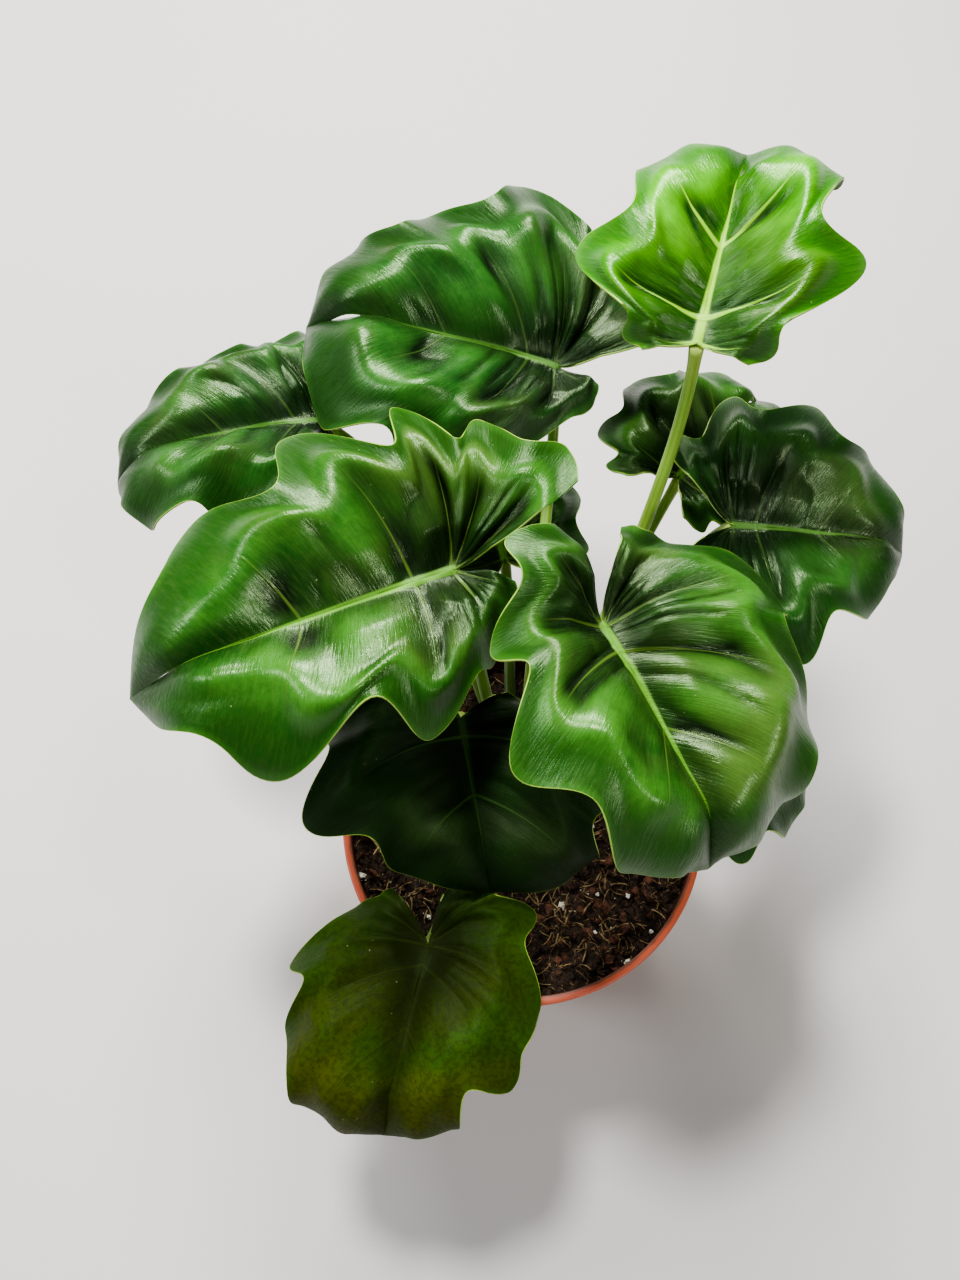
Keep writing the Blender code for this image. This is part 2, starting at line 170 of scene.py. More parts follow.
class Finish:
    # builds one material: nodes for its patterns, and layers of colour over one another

    def __init__(self, name, roughness, specular=0.5):
        self.material = bpy.data.materials.new(name)
        self.material.use_nodes = True
        self.tree = self.material.node_tree
        self.shader = self.tree.nodes["Principled BSDF"].inputs
        self.shader["Roughness"].default_value = roughness
        self.shader["Specular IOR Level"].default_value = specular

    def add(self, kind, given, result, **settings):
        return addNode(self.tree, kind, given, result, **settings)

    def place(self):
        return self.add("ShaderNodeTexCoord", {}, "Object")

    def surfaceMap(self, name):
        return self.add("ShaderNodeUVMap", {}, "UV", uv_map=name)

    def carried(self, name):
        return self.add("ShaderNodeAttribute", {}, "Fac", attribute_name=name)

    def stretch(self, vector, scale, shift=(0.0, 0.0, 0.0)):
        return self.add("ShaderNodeMapping", {"Vector": vector, "Scale": scale, "Location": shift}, "Vector")

    def part(self, vector, axis):
        return self.add("ShaderNodeSeparateXYZ", {"Vector": vector}, axis)

    def pattern(self, kind, vector, scale, result, **given):
        # a scale of three numbers stretches the pattern
        if isinstance(scale, tuple):
            vector, scale = self.stretch(vector, scale), 1.0
        return self.add(kind, {"Vector": vector, "Scale": scale, **given}, result)

    def grain(self, vector, scale, detail=3.0, roughness=0.55):
        return self.pattern("ShaderNodeTexNoise", vector, scale, "Fac", Detail=detail, Roughness=roughness)

    def cells(self, vector, scale):
        return self.pattern("ShaderNodeTexVoronoi", vector, scale, "Distance")

    def reckon(self, operation, first, second, clamp=False):
        return self.add("ShaderNodeMath", {0: first, 1: second}, 0, operation=operation, use_clamp=clamp)

    def plus(self, first, second):
        return self.reckon("ADD", first, second)

    def times(self, first, second, clamp=False):
        return self.reckon("MULTIPLY", first, second, clamp)

    def spread(self, value, low, high, toLow=0.0, toHigh=1.0):
        # value from low to high becomes toLow to toHigh, eased and clamped
        given = {"Value": value, "From Min": low, "From Max": high, "To Min": toLow, "To Max": toHigh}
        return self.add("ShaderNodeMapRange", given, "Result", interpolation_type="SMOOTHSTEP")

    def line(self, gap, where, reach, width, blur, fade):
        # a painted line: it thins along its way, blurs at its sides and fades out
        share = self.reckon("DIVIDE", gap, self.spread(where, 0.0, reach, *width))
        return self.times(self.spread(share, *blur, 1.0, 0.0), self.spread(where, *fade))

    def begin(self, amount, first, second):
        # the ground colour goes from first to second
        self.colour = shown(first)
        self.layer(amount, second)

    def layer(self, amount, colour):
        given = {"Factor": amount, 6: self.colour, 7: shown(colour)}
        self.colour = self.add("ShaderNodeMix", given, 2, data_type="RGBA")

    def over(self, value, span, colour):
        # a layer that comes or goes over a range of the value
        self.layer(self.spread(value, *span), colour)

    def bump(self, height, strength, depth, under=None):
        given = {"Height": height, "Strength": strength, "Distance": depth, "Normal": under}
        return self.add("ShaderNodeBump", given, "Normal")

    def done(self, normal=None, roughness=None):
        given = {"Base Color": self.colour, "Normal": normal, "Roughness": roughness}
        fillIn(self.tree, self.shader, given)
        return self.material


# leaf finishes

# What a tone has unless its own entry says otherwise. Each width is at the line's start and
# its end, in mm.
toneBase = {
    "mottle": 0.10, "gloss": 0.28, "specular": 0.42, "bandReach": (0.72, 0.84),
    "ribWidth": (1.10, 0.15), "veinWidth": (0.50, 0.20),
}
# each tone's darkest colour is for painted shade and for small dark spots
leafTones = {
    "deep": {
        "ground": (23, 66, 21), "crest": (48, 96, 35), "patch": (50, 66, 30), "band": (16, 52, 8),
        "shadeAndSpot": (6, 18, 7), "rib": (70, 110, 42), "ribShow": 0.85, "ribWidth": (1.05, 0.15),
        "vein": (60, 88, 36), "veinShow": 0.45, "veinWidth": (0.45, 0.18),
    },
    "mid": {
        "ground": (31, 78, 21), "crest": (60, 112, 37), "patch": (66, 92, 38), "band": (20, 61, 8),
        "shadeAndSpot": (6, 20, 6), "rib": (88, 136, 44), "ribShow": 0.95, "ribWidth": (1.40, 0.18),
        "vein": (80, 108, 40), "veinShow": 0.60,
    },
    "bright": {
        "ground": (38, 105, 8), "crest": (80, 156, 17), "patch": (52, 92, 16), "band": (37, 102, 7),
        "shadeAndSpot": (10, 48, 5), "mottle": 0.05, "gloss": 0.29, "specular": 0.60,
        "rib": (136, 184, 50), "ribShow": 1.0, "ribWidth": (1.30, 0.18),
        "vein": (124, 174, 46), "veinShow": 1.0, "veinWidth": (0.85, 0.22),
    },
    # the low front leaf: darker all over, painted shade from the leaves above it
    "shade": {
        "ground": (16, 37, 11), "crest": (23, 49, 15), "patch": (24, 37, 14), "band": (13, 31, 7),
        "shadeAndSpot": (9, 20, 7), "mottle": 0.15, "gloss": 0.50, "specular": 0.11,
        "rib": (42, 68, 26), "ribShow": 0.6, "vein": (40, 64, 25), "veinShow": 0.8,
    },
    # the hanging leaf's own olive, its colours also darkened as painted shade from the leaves above it
    "olive": {
        "ground": (28, 54, 6), "crest": (38, 70, 7), "patch": (44, 54, 5), "band": (36, 58, 5),
        "shadeAndSpot": (20, 26, 6), "mottle": 0.45, "gloss": 0.50, "specular": 0.11,
        "rib": (34, 48, 9), "ribShow": 0.25,
        "vein": (38, 50, 9), "veinShow": 0.35, "veinWidth": (0.45, 0.20),
        "bandReach": (0.55, 1.05), "tip": (60, 60, 3), "tipShow": 0.75,
    },
}

# A range says where a layer begins and ends, then how strong it is at both.
leafLook = {
    "glossTint": (0.74, 1.0, 0.60, 1.0),
    # patterns to a metre, or across and along the side veins
    "driftScale": 40.0,
    "cloudScale": 24.0,
    "cloudShift": (0.3, 0.1, 0.2),
    "spotScale": 620.0,
    "skinScale": 1000.0,
    "speckScale": 230.0,
    "strokeScale": (17.0, 3.5, 1.0),
    "fineScale": (52.0, 7.0, 1.0),
    "netScale": (10.0, 16.0, 1.0),
    "edge": (150, 178, 76),
    "edgeDeep": (140, 172, 76),
    "speck": (186, 198, 140),
    "under": (96, 134, 66),
    "underDeep": (72, 112, 50),
    "underVein": (150, 176, 96),
    "crestRange": (0.38, 0.76),
    "patchRange": (0.44, 0.62, 0.0, 0.8),
    "bandShow": (0.0, 0.9),
    "agedRange": (0.40, 0.95),
    "mottleRange": (0.42, 0.62),
    "foldShadeShow": 0.75,
    "strokeShow": 0.16,
    # painted shade beside the midrib and round the stem, where creases and the funnel lie in shade
    "ribShade": (1.5, 9.0, 0.60, 0.0),  # mm
    "stemShade": (5.0, 32.0, 0.92, 0.0),  # mm
    "strokeRange": (0.45, 0.75, 0.0, 0.12),
    "rimGlow": (0.3, 3.5, 0.35, 0.0),  # mm
    "edgeLine": (0.10, 0.34, 0.85, 0.0),  # mm
    "edgeBreaks": (0.38, 0.60, 0.25, 1.0),
    "speckRange": (0.045, 0.075, 0.30, 0.0),
    "speckPlaces": (0.55, 0.70),
    # where a line is thinnest and where it fades, of its way, and its blur, of its width
    "veinReach": 0.45,
    "veinFade": (0.35, 0.70),
    "veinBlur": (0.45, 1.35),
    "ribReach": 0.95,
    "ribFade": (0.55, 0.95),
    "ribBlur": (0.60, 1.20),
}


def leafUpper(name, tone):
    look = leafLook
    finish = Finish(name, tone["gloss"], tone["specular"])
    finish.shader["Specular Tint"].default_value = look["glossTint"]
    place = finish.place()
    veins = finish.surfaceMap("veinMap")
    across = finish.part(veins, "Y")
    along = finish.part(finish.surfaceMap("ribMap"), "X")
    edgeGap = finish.carried("edgeGap")
    ribGap = finish.carried("ribGap")
    # green that drifts over the blade, with faint strokes that follow the side veins
    drift = finish.grain(place, look["driftScale"], 5.0, 0.65)
    strokes = finish.grain(finish.stretch(veins, look["strokeScale"]), 1.6, 4.0, 0.6)
    fine = finish.grain(veins, look["fineScale"], 3.0, 0.6)
    crest = finish.plus(drift, finish.times(strokes, look["strokeShow"]))
    finish.begin(finish.spread(crest, *look["crestRange"]), tone["ground"], tone["crest"])
    elsewhere = finish.stretch(place, (1.0, 1.0, 1.0), look["cloudShift"])
    finish.over(finish.grain(elsewhere, look["cloudScale"], 4.0, 0.6), look["patchRange"], tone["patch"])
    # a darker green where the blade rolls down, painted shade, and a yellower margin on the olive leaf; age
    # toward the tip
    band = finish.spread(finish.carried("outward"), *tone["bandReach"], *look["bandShow"])
    finish.layer(band, tone["band"])
    if "tip" in tone:
        aged = finish.plus(along, finish.spread(drift, 0.3, 0.7, -0.2, 0.2))
        finish.over(aged, (*look["agedRange"], 0.0, tone["tipShow"]), tone["tip"])
    # small dark spots, and painted shade in the folds, beside the midrib and round the stem
    spots = finish.grain(place, look["spotScale"], 4.0, 0.65)
    finish.over(spots, (*look["mottleRange"], 0.0, tone["mottle"]), tone["shadeAndSpot"])
    finish.layer(finish.times(finish.carried("paintedFoldShade"), look["foldShadeShow"], True), tone["shadeAndSpot"])
    finish.over(ribGap, look["ribShade"], tone["shadeAndSpot"])
    finish.over(finish.carried("stemGap"), look["stemShade"], tone["shadeAndSpot"])
    finish.over(fine, look["strokeRange"], tone["vein"])
    # thin paler side veins that end before the margin, and the midrib, broadest at the stem
    fade = (*look["veinFade"], tone["veinShow"], 0.0)
    veinGap = finish.carried("veinGap")
    veinLine = finish.line(veinGap, across, look["veinReach"], tone["veinWidth"], look["veinBlur"], fade)
    finish.layer(veinLine, tone["vein"])
    fade = (*look["ribFade"], tone["ribShow"], 0.10)
    ribLine = finish.line(ribGap, along, look["ribReach"], tone["ribWidth"], look["ribBlur"], fade)
    finish.layer(ribLine, tone["rib"])
    # a thin pale line round the margin, and small scattered specks
    finish.over(edgeGap, look["rimGlow"], tone["crest"])
    breaks = finish.spread(finish.grain(place, 90.0), *look["edgeBreaks"])
    finish.layer(finish.times(finish.spread(edgeGap, *look["edgeLine"]), breaks), look["edge"])
    specks = finish.spread(finish.cells(place, look["speckScale"]), *look["speckRange"])
    places = finish.spread(finish.grain(place, 60.0, 2.0), *look["speckPlaces"])
    finish.layer(finish.times(specks, places), look["speck"])
    # the gloss breaks up in strokes and is duller on the midrib and the outer band
    rough = finish.spread(strokes, 0.25, 0.75, tone["gloss"] - 0.05, tone["gloss"] + 0.07)
    rough = finish.plus(rough, finish.times(ribLine, 0.20))
    rough = finish.plus(rough, finish.times(band, 0.06))
    skin = finish.bump(finish.grain(place, look["skinScale"], 2.0), 0.25, 0.00012)
    ridges = finish.bump(fine, 0.60, 0.0003, skin)
    broad = finish.bump(strokes, 0.12, 0.0006, ridges)
    return finish.done(finish.bump(veinLine, 0.4, 0.0003, broad), rough)


def leafUnder(name):
    look = leafLook
    finish = Finish(name, 0.55, 0.35)
    veins = finish.surfaceMap("veinMap")
    net = finish.cells(veins, look["netScale"])
    patches = finish.spread(finish.grain(finish.place(), 50.0), 0.3, 0.7, 0.0, 0.5)
    finish.begin(patches, look["under"], look["underDeep"])
    veinLine = finish.spread(finish.carried("veinGap"), 0.2, 0.9, 1.0, 0.0)
    veinLine = finish.times(veinLine, finish.spread(finish.part(veins, "Y"), 0.4, 0.9, 1.0, 0.1))
    finish.layer(veinLine, look["underVein"])
    return finish.done(finish.bump(net, 0.25, 0.0002, finish.bump(veinLine, 0.8, 0.0008)))


def leafEdge(name):
    finish = Finish(name, 0.40)
    finish.begin(finish.grain(finish.place(), 120.0), leafLook["edge"], leafLook["edgeDeep"])
    return finish.done()


upperFinishes = {
    key: leafUpper("leafGreen" + key.title(), {**toneBase, **own}) for key, own in leafTones.items()
}
underFinish = leafUnder("leafUnderside")
edgeFinish = leafEdge("leafMargin")
print("leaf finishes made:", len(upperFinishes) + 2)


# blades

bladeForm = {
    "thickness": 0.6 * mm,
    "solidThickness": 0.9 * mm,
    # the outline
    "afterTurn": 28.0,  # from the last lobe's vein to one more, which ends the blade
    "afterReach": 0.8,  # its length, of the last lobe's
    "afterNotch": 0.06,
    "backAngle": 170.0,
    "backSlack": 14.0,
    "notchCurve": 2.2,
    "veinRows": 3.3,  # so many veins leave the midrib, the others the stem
    "veinCrowding": 2.4,
    "stemward": 0.003,  # nearer the stem than this, of the length, a vein starts on it
    "veinLead": 16.0,
    "veinLeadReach": 25 * mm,
    "rowsPerLobe": 28,
    "columns": 40,
    "columnCrowding": 1.5,  # toward the midrib
    "marginColumns": (0.985, 0.996, 1.0),
    "waves": {  # random waves along the margin: how many to a lobe, and a seed
        "scallop": (2.6, 0.7), "ringPlace": (1.7, 0.4), "ringHeight": (2.1, 0.9), "ruffle": (3.4, 0.2),
    },
    "scallop": 0.060,  # small waves of the outline, of the vein's length
    # the arch, of the vein's length
    "rise": 0.15,
    "crest": 0.55,
    "pillow": 0.095,
    "pillowStart": 0.20,
    "pillowPower": 0.8,
    "pillowEnd": 0.50,
    "pillowFade": 0.35,
    "creaseWidth": 0.25,
    "leastFull": 0.4,  # what a blade without folds keeps of pillow and ring
    "wave": 0.070,
    "curl": 0.08,
    "curlPower": 5,
    "lift": 0.45,
    "liftPower": 1.3,
    "liftFrom": 95.0,
    "liftSpan": 65.0,
    "flatCentre": 11 * mm,
    "droopCurve": 1.4,
    "tipRoll": 30.0,
    "tipRollFrom": 0.68,
    # low relief
    "ribHeight": 0.70,  # mm, over its valley
    "ribThinning": 0.75,  # what it loses on its way to the tip
    "ribSpread": 1.1,  # mm
    "veinHeight": 0.20,  # mm
    "veinFrom": 0.06,
    "veinSpread": 0.5,  # mm
    "pleatHeight": 3.2,  # mm, the finger-like folds between side veins
    "pleatsPerLobe": 3.2,
    "pleatsPerVein": 1.3,
    "pleatPower": 0.7,
    "pleatLevel": 0.35,
    "pleatFrom": 0.10,
    "pleatFade": 0.18,  # they end this far inside the ring
    "pleatFull": 40 * mm,  # a vein this long has whole folds
    "foldEdge": 0.30,  # folds below this get painted shade
    "foldShadeStrength": 0.9,
    "dentShadePower": 1.5,
    "ringHeight": 0.048,  # the raised ring where the folds end, of the way from stem to margin
    "ringAt": 0.70,  # its place on that way
    "ringDrift": 0.10,
    "ringUneven": 1.2,
    "ringWidth": (0.14, 0.095),  # on its inner and its outer side
    "dentFill": 0.040,  # how far the ring fills a side vein's crease, of the vein's length
    "dentWidth": 0.6,
    "unevenHeight": 1.8,  # mm, slow swells of the whole blade
    "swellsPerMetre": 36,
    "swellFrom": 6,  # mm from the midrib
    "ruffle": 1.3,  # mm, small waves of the margin
}

# What a leaf has unless its own entry says otherwise. folded is how deep its folds are, and
# pastLastLobe how far the blade goes on past its last lobe, of a lobe.
leafBase = {"pitch": 0, "roll": 0, "droop": 30, "folded": 1.0, "pastLastLobe": 0.45}

# junction is where the stem meets the blade. heading is the way the tip points, with
# 0 along +X and 90 along +Y. Each lobe, tip to base, is (angle from the tip, reach in mm,
# depth of the notch before it as a share of the vein). stem is its height in the crown in mm,
# bearing, slope there and angle where it meets the blade.
leafShapes = {
    "left": {
        "junction": (-22, 46, 198), "heading": 200, "roll": -10, "length": 104, "droop": 25,
        "left": ((30, 77, 0.26), (65, 48, 0.36), (95, 29, 0.14), (130, 21, 0.12)),
        "right": ((30, 76, 0.14), (60, 63, 0.30), (93, 51, 0.36), (120, 44, 0.26), (155, 43, 0.12)),
        "stem": (110, 140, 60, 75), "tone": "mid", "seed": 1.0,
    },
    "front": {
        "junction": (18, 23, 212), "heading": -60, "pitch": -5, "roll": -15, "length": 72,
        "left": ((20, 74, 0.08), (45, 67, 0.10), (75, 58, 0.30), (115, 34, 0.10)),
        "right": ((20, 67, 0.10), (60, 48, 0.18), (105, 32, 0.26), (150, 33, 0.16)),
        "stem": (110, 45, 50, 85), "tone": "mid", "seed": 2.0, "pastLastLobe": 0.92,
    },
    "low_front": {
        "junction": (-20, 19, 150), "heading": -80, "pitch": -5, "length": 56,
        "left": ((30, 65, 0.14), (55, 51, 0.20), (95, 21, 0.16)),
        "right": ((30, 51, 0.06), (65, 57, 0.20), (95, 40, 0.16), (130, 28, 0.14)),
        "stem": (100, 190, 50, 85), "tone": "shade", "seed": 3.0, "folded": 0.5,
    },
    "hanging": {
        "junction": (-30, -44, 118), "heading": -105, "roll": 5, "length": 61,
        "left": ((20, 58, 0.08), (45, 51, 0.26), (75, 40, 0.08), (120, 34, 0.18), (145, 24, 0.12)),
        "right": ((20, 69, 0.06), (45, 53, 0.12), (70, 43, 0.20), (105, 26, 0.14)),
        "stem": (94, 240, 30, 25), "tone": "olive", "seed": 4.0, "folded": 0.2, "pastLastLobe": 0.92,
    },
    "back": {
        "junction": (9, 122, 184), "heading": 170, "pitch": 15, "roll": -5, "length": 83,
        "left": ((25, 78, 0.12), (50, 56, 0.14), (80, 29, 0.16), (140, 17, 0.14)),
        "right": ((20, 79, 0.10), (40, 66, 0.16), (70, 67, 0.18), (100, 52, 0.28), (145, 44, 0.16)),
        "stem": (106, 90, 60, 70), "tone": "deep", "seed": 5.0,
    },
    "far_left": {
        "junction": (-64, 110, 172), "heading": 190, "pitch": 5, "roll": 10, "length": 72,
        "left": ((20, 66, 0.06), (45, 46, 0.12), (80, 30, 0.12)),
        "right": ((20, 63, 0.14), (40, 52, 0.20), (65, 42, 0.20), (95, 40, 0.16)),
        "stem": (100, 125, 55, 40), "tone": "deep", "seed": 6.0,
    },
    "bright": {
        "junction": (42, 90, 242), "heading": 75, "pitch": 15, "roll": -5, "length": 64, "droop": 20,
        "left": ((25, 60, 0.12), (60, 44, 0.36), (95, 18, 0.34)),
        "right": ((20, 70, 0.14), (50, 48, 0.38), (90, 19, 0.34)),
        "stem": (100, 55, 60, 70), "tone": "bright", "seed": 7.0,
    },
    "right": {
        "junction": (60, 66, 186), "heading": -5, "roll": 10, "length": 58,
        "left": ((30, 52, 0.16), (60, 47, 0.24), (95, 40, 0.20), (130, 30, 0.22)),
        "right": ((25, 50, 0.14), (60, 46, 0.28), (90, 36, 0.18), (125, 26, 0.22)),
        "stem": (95, 25, 45, 60), "tone": "deep", "seed": 14.0, "folded": 0.7,
    },
    "low_right": {
        "junction": (46, 6, 152), "heading": 0, "pitch": -5, "length": 46, "droop": 35,
        "left": ((30, 40, 0.16), (65, 34, 0.22), (95, 27, 0.18), (130, 21, 0.16)),
        "right": ((30, 41, 0.16), (60, 36, 0.20), (95, 28, 0.24), (130, 20, 0.16)),
        "stem": (93, -15, 40, 60), "tone": "deep", "seed": 9.0,
    },
    "low_back_left": {
        "junction": (-6, 82, 130), "heading": 105, "length": 50,
        "left": ((30, 42, 0.16), (60, 33, 0.24), (95, 26, 0.18), (130, 20, 0.16)),
        "right": ((30, 44, 0.18), (60, 37, 0.22), (95, 29, 0.20), (130, 22, 0.16)),
        "stem": (92, 105, 35, 50), "tone": "mid", "seed": 10.0,
    },
    "low_back_right": {
        "junction": (50, 98, 158), "heading": 50, "length": 54, "droop": 35,
        "left": ((30, 47, 0.16), (60, 40, 0.26), (95, 31, 0.18), (130, 23, 0.18)),
        "right": ((30, 46, 0.16), (60, 38, 0.20), (95, 30, 0.24), (130, 22, 0.16)),
        "stem": (92, 65, 40, 55), "tone": "mid", "seed": 11.0,
    },
}


def smoothValues(values, where):
    # a smooth line through values at 0, 1, 2 and so on
    values = np.asarray(values, float)
    where = np.clip(where, 0, len(values) - 1 - 1e-9)
    i = where.astype(int)
    t = where - i
    ends = np.concatenate([[2 * values[0] - values[1]], values, [2 * values[-1] - values[-2]]])
    a, b, c, d = ends[i], ends[i + 1], ends[i + 2], ends[i + 3]
    return b + 0.5 * t * ((c - a) + t * ((2 * a - 5 * b + 4 * c - d) + t * (3 * (b - c) + d - a)))


def ease(share):
    share = np.clip(share, 0, 1)
    return share * share * (3 - 2 * share)


def ramp(value, size):
    # from 0 to 1 over the given size
    return np.clip(value / size, 0, 1)


def hump(gap, width):
    # 1 in the middle and almost 0 two widths off
    return np.exp(-(gap / width) ** 2)


def swellOver(x, y, seed):
    # a smooth random height over the two coordinates
    x, y = np.broadcast_arrays(x, y)
    values = [noise.noise(Vector((a, b, seed * 7.3))) for a, b in zip(x.ravel(), y.ravel())]
    return np.array(values).reshape(x.shape)


def droopSlope(along, shape):
    begin = bladeForm["tipRollFrom"]
    roll = math.radians(bladeForm["tipRoll"]) * ease((along - begin) / (1 - begin))
    return math.radians(shape["droop"]) * along ** bladeForm["droopCurve"] + roll


def droopBlade(points, shape):
    # the midrib bends down toward the tip, and a little past it
    length = shape["length"] * mm
    x, y, z = points[..., 0], points[..., 1], points[..., 2]
    steps = np.linspace(0, 1.2, 241)
    slope = droopSlope(steps, shape)
    middle = (slope[1:] + slope[:-1]) / 2
    run = np.concatenate([[0], np.cumsum(np.cos(middle) * np.diff(steps))])
    fall = np.concatenate([[0], np.cumsum(np.sin(middle) * np.diff(steps))])
    along = np.clip(x / length, 0, steps[-1])
    here = droopSlope(along, shape)
    ahead = np.where(x > 0, np.interp(along, steps, run) * length, x)
    down = np.where(x > 0, np.interp(along, steps, fall) * length, 0)
    return np.stack([ahead + z * np.sin(here), y, z * np.cos(here) - down], -1)


def fineColumns():
    # close together beside the midrib and just inside the margin
    steps = np.linspace(0, 1, bladeForm["columns"]) ** bladeForm["columnCrowding"]
    return np.concatenate([steps[:-1], bladeForm["marginColumns"]])


def halfBlade(shape, key, side):
    # rows run from the midrib to the margin, columns follow the margin
    form = bladeForm
    lobes = shape[key]
    folded = shape["folded"]
    fullness = form["leastFull"] + (1 - form["leastFull"]) * folded
    length = shape["length"] * mm
    end = len(lobes) + shape["pastLastLobe"]
    angles = [0.0] + [angle for angle, reach, notch in lobes]
    angles.append(min(angles[-1] + form["afterTurn"], form["backAngle"] + form["backSlack"]))
    reaches = [length] + [reach * mm for angle, reach, notch in lobes]
    reaches.append(reaches[-1] * form["afterReach"])
    notches = np.array([notch for angle, reach, notch in lobes] + [form["afterNotch"]])
    perLobe = form["rowsPerLobe"]
    rows = np.arange(int(end * perLobe) + 1) / perLobe
    rows = np.append(rows[rows < end - 0.2 / perLobe], end)
    across = fineColumns()[None, :]
    row = rows[:, None]

    def waves(name):
        rate, seed = form["waves"][name]
        return swellOver(row * rate * side, 0.0, shape["seed"] + seed)

    # a vein leaves the midrib ahead of its lobe and curves out to it
    angle = np.radians(np.minimum(smoothValues(angles, row), form["backAngle"]))
    reach = smoothValues(reaches, row)
    start = length * np.clip(1 - row / form["veinRows"], 0, 1) ** form["veinCrowding"]
    start = np.where(start < form["stemward"] * length, 0, start)
    marginX = reach * np.cos(angle)
    marginY = reach * np.sin(angle)
    chord = np.hypot(marginX - start, marginY)
    lead = math.radians(form["veinLead"]) * ramp(chord, form["veinLeadReach"])
    leave = np.arctan2(marginY, marginX - start) + lead
    middleX = start + np.cos(leave) * chord * 0.5
    middleY = np.sin(leave) * chord * 0.5
    # a notch cuts the margin back and leaves the middle of the blade alone
    lobe = row.astype(int)
    notch = notches[lobe] * np.sin(math.pi * (row - lobe)) ** form["notchCurve"]
    offTip = np.clip(row * 2, 0, 1)
    out = across * (1 - notch * across)
    out = out * (1 + form["scallop"] * (waves("scallop") * across ** 3 * offTip))
    x = (1 - out) ** 2 * start + 2 * out * (1 - out) * middleX + out ** 2 * marginX
    y = 2 * out * (1 - out) * middleY + out ** 2 * marginY
    # the blade rises from the midrib, puffs up between veins and waves at its margin
    crest = out / form["crest"]
    between = np.hypot(np.sin(math.pi * row), form["creaseWidth"]) - form["creaseWidth"]
    puff = ramp(out, form["pillowStart"]) ** form["pillowPower"]
    puff = puff * (1 - ease((out - form["pillowEnd"]) / form["pillowFade"]))
    z = form["rise"] * chord * (2 * crest - crest * crest)
    z = z + form["pillow"] * fullness * chord * between * puff
    wavy = np.cos(2 * math.pi * row) * across ** 3 * np.clip(row * 1.5, 0, 1)
    z = z - form["wave"] * chord * wavy
    z = z - form["curl"] * chord * out ** form["curlPower"]
    # the lobes beside the stem lift into a funnel
    turn = ease((np.degrees(angle) - form["liftFrom"]) / form["liftSpan"])
    z = z + form["lift"] * chord * out ** form["liftPower"] * turn
    fromStem = np.hypot(x, y)
    marginTurn = np.maximum.accumulate(np.arctan2(y[:, -1], x[:, -1]))
    wholeWay = np.interp(np.arctan2(y, x), marginTurn, fromStem[:, -1])
    outward = ramp(fromStem, wholeWay)
    near = ramp(fromStem, form["flatCentre"])
    z = z * near
    # distances in mm to the nearest side vein, the midrib and the margin
    step = np.gradient(np.stack([x, y], -1), rows, axis=0)
    veinGap = np.abs(row - np.maximum(np.round(row), 1)) * (np.linalg.norm(step, axis=-1) / mm)
    ribGap = np.where(x > 0, y, fromStem) / mm
    edgeGap = (1 - across) * (1 - notch) * chord / mm
    # the raised midrib and side veins
    along = ramp(x, length)
    thin = 1 - form["ribThinning"] * along
    relief = form["ribHeight"] * thin * hump(ribGap, form["ribSpread"])
    thin = ramp(across, form["veinFrom"]) * (1 - across)
    relief = relief + form["veinHeight"] * (thin * hump(veinGap, form["veinSpread"]))
    # finger-like folds that end at the ring
    ringAt = form["ringAt"] + form["ringDrift"] * waves("ringPlace")
    folds = swellOver(row * form["pleatsPerLobe"] * side, across * form["pleatsPerVein"], shape["seed"])
    pleat = np.abs(folds) ** form["pleatPower"] - form["pleatLevel"]
    fade = form["pleatFade"]
    calm = ramp(across, form["pleatFrom"]) * (1 - ease((outward - ringAt + fade) / fade))
    size = ramp(chord, form["pleatFull"]) * near
    relief = relief + form["pleatHeight"] * folded * pleat * calm * size
    # the ring, filled in where a side vein's crease crosses it
    inner, outer = form["ringWidth"]
    uneven = 1 + form["ringUneven"] * waves("ringHeight")
    ring = hump(outward - ringAt, np.where(outward < ringAt, inner, outer)) * near
    dent = np.clip(1 - between / form["dentWidth"], 0, 1) * offTip
    relief = relief + ring * form["ringHeight"] * wholeWay / mm * uneven * fullness
    relief = relief + ring * form["dentFill"] * chord / mm * dent
    # a waved margin and slow swells
    relief = relief + form["ruffle"] * (waves("ruffle") * across ** 4 * offTip)
    rate = form["swellsPerMetre"]
    swell = swellOver(x * rate, y * side * rate, shape["seed"] + 0.5) * near
    swell = swell * ramp(ribGap, form["swellFrom"])
    z = z + (relief + form["unevenHeight"] * min(folded + 0.3, 1) * swell) * mm
    # where the materials paint shade: painted shade in the creases of the folds and where the side veins'
    # creases meet the ring
    foldEdge, foldShadeStrength = form["foldEdge"], form["foldShadeStrength"]
    furrow = np.clip(foldEdge - np.abs(folds), 0, foldEdge) / foldEdge
    paintedFoldShade = (foldShadeStrength * dent ** form["dentShadePower"] + foldShadeStrength * furrow) * calm * near * folded
    fields = {
        "veinGap": veinGap,
        "ribGap": ribGap,
        "edgeGap": edgeGap,
        "stemGap": fromStem / mm,
        "paintedFoldShade": paintedFoldShade,
        "outward": outward,
        "row": np.broadcast_to(row * side, x.shape),
        "across": np.broadcast_to(across, x.shape),
        "along": along,
    }
    return droopBlade(np.stack([x, y * side, z], -1), shape), fields


def leafAxes(shape):
    heading, pitch, roll = (math.radians(shape[key]) for key in ("heading", "pitch", "roll"))
    turn = Matrix.Rotation(heading, 3, "Z") @ Matrix.Rotation(-pitch, 3, "Y")
    return np.array(turn @ Matrix.Rotation(roll, 3, "X"))


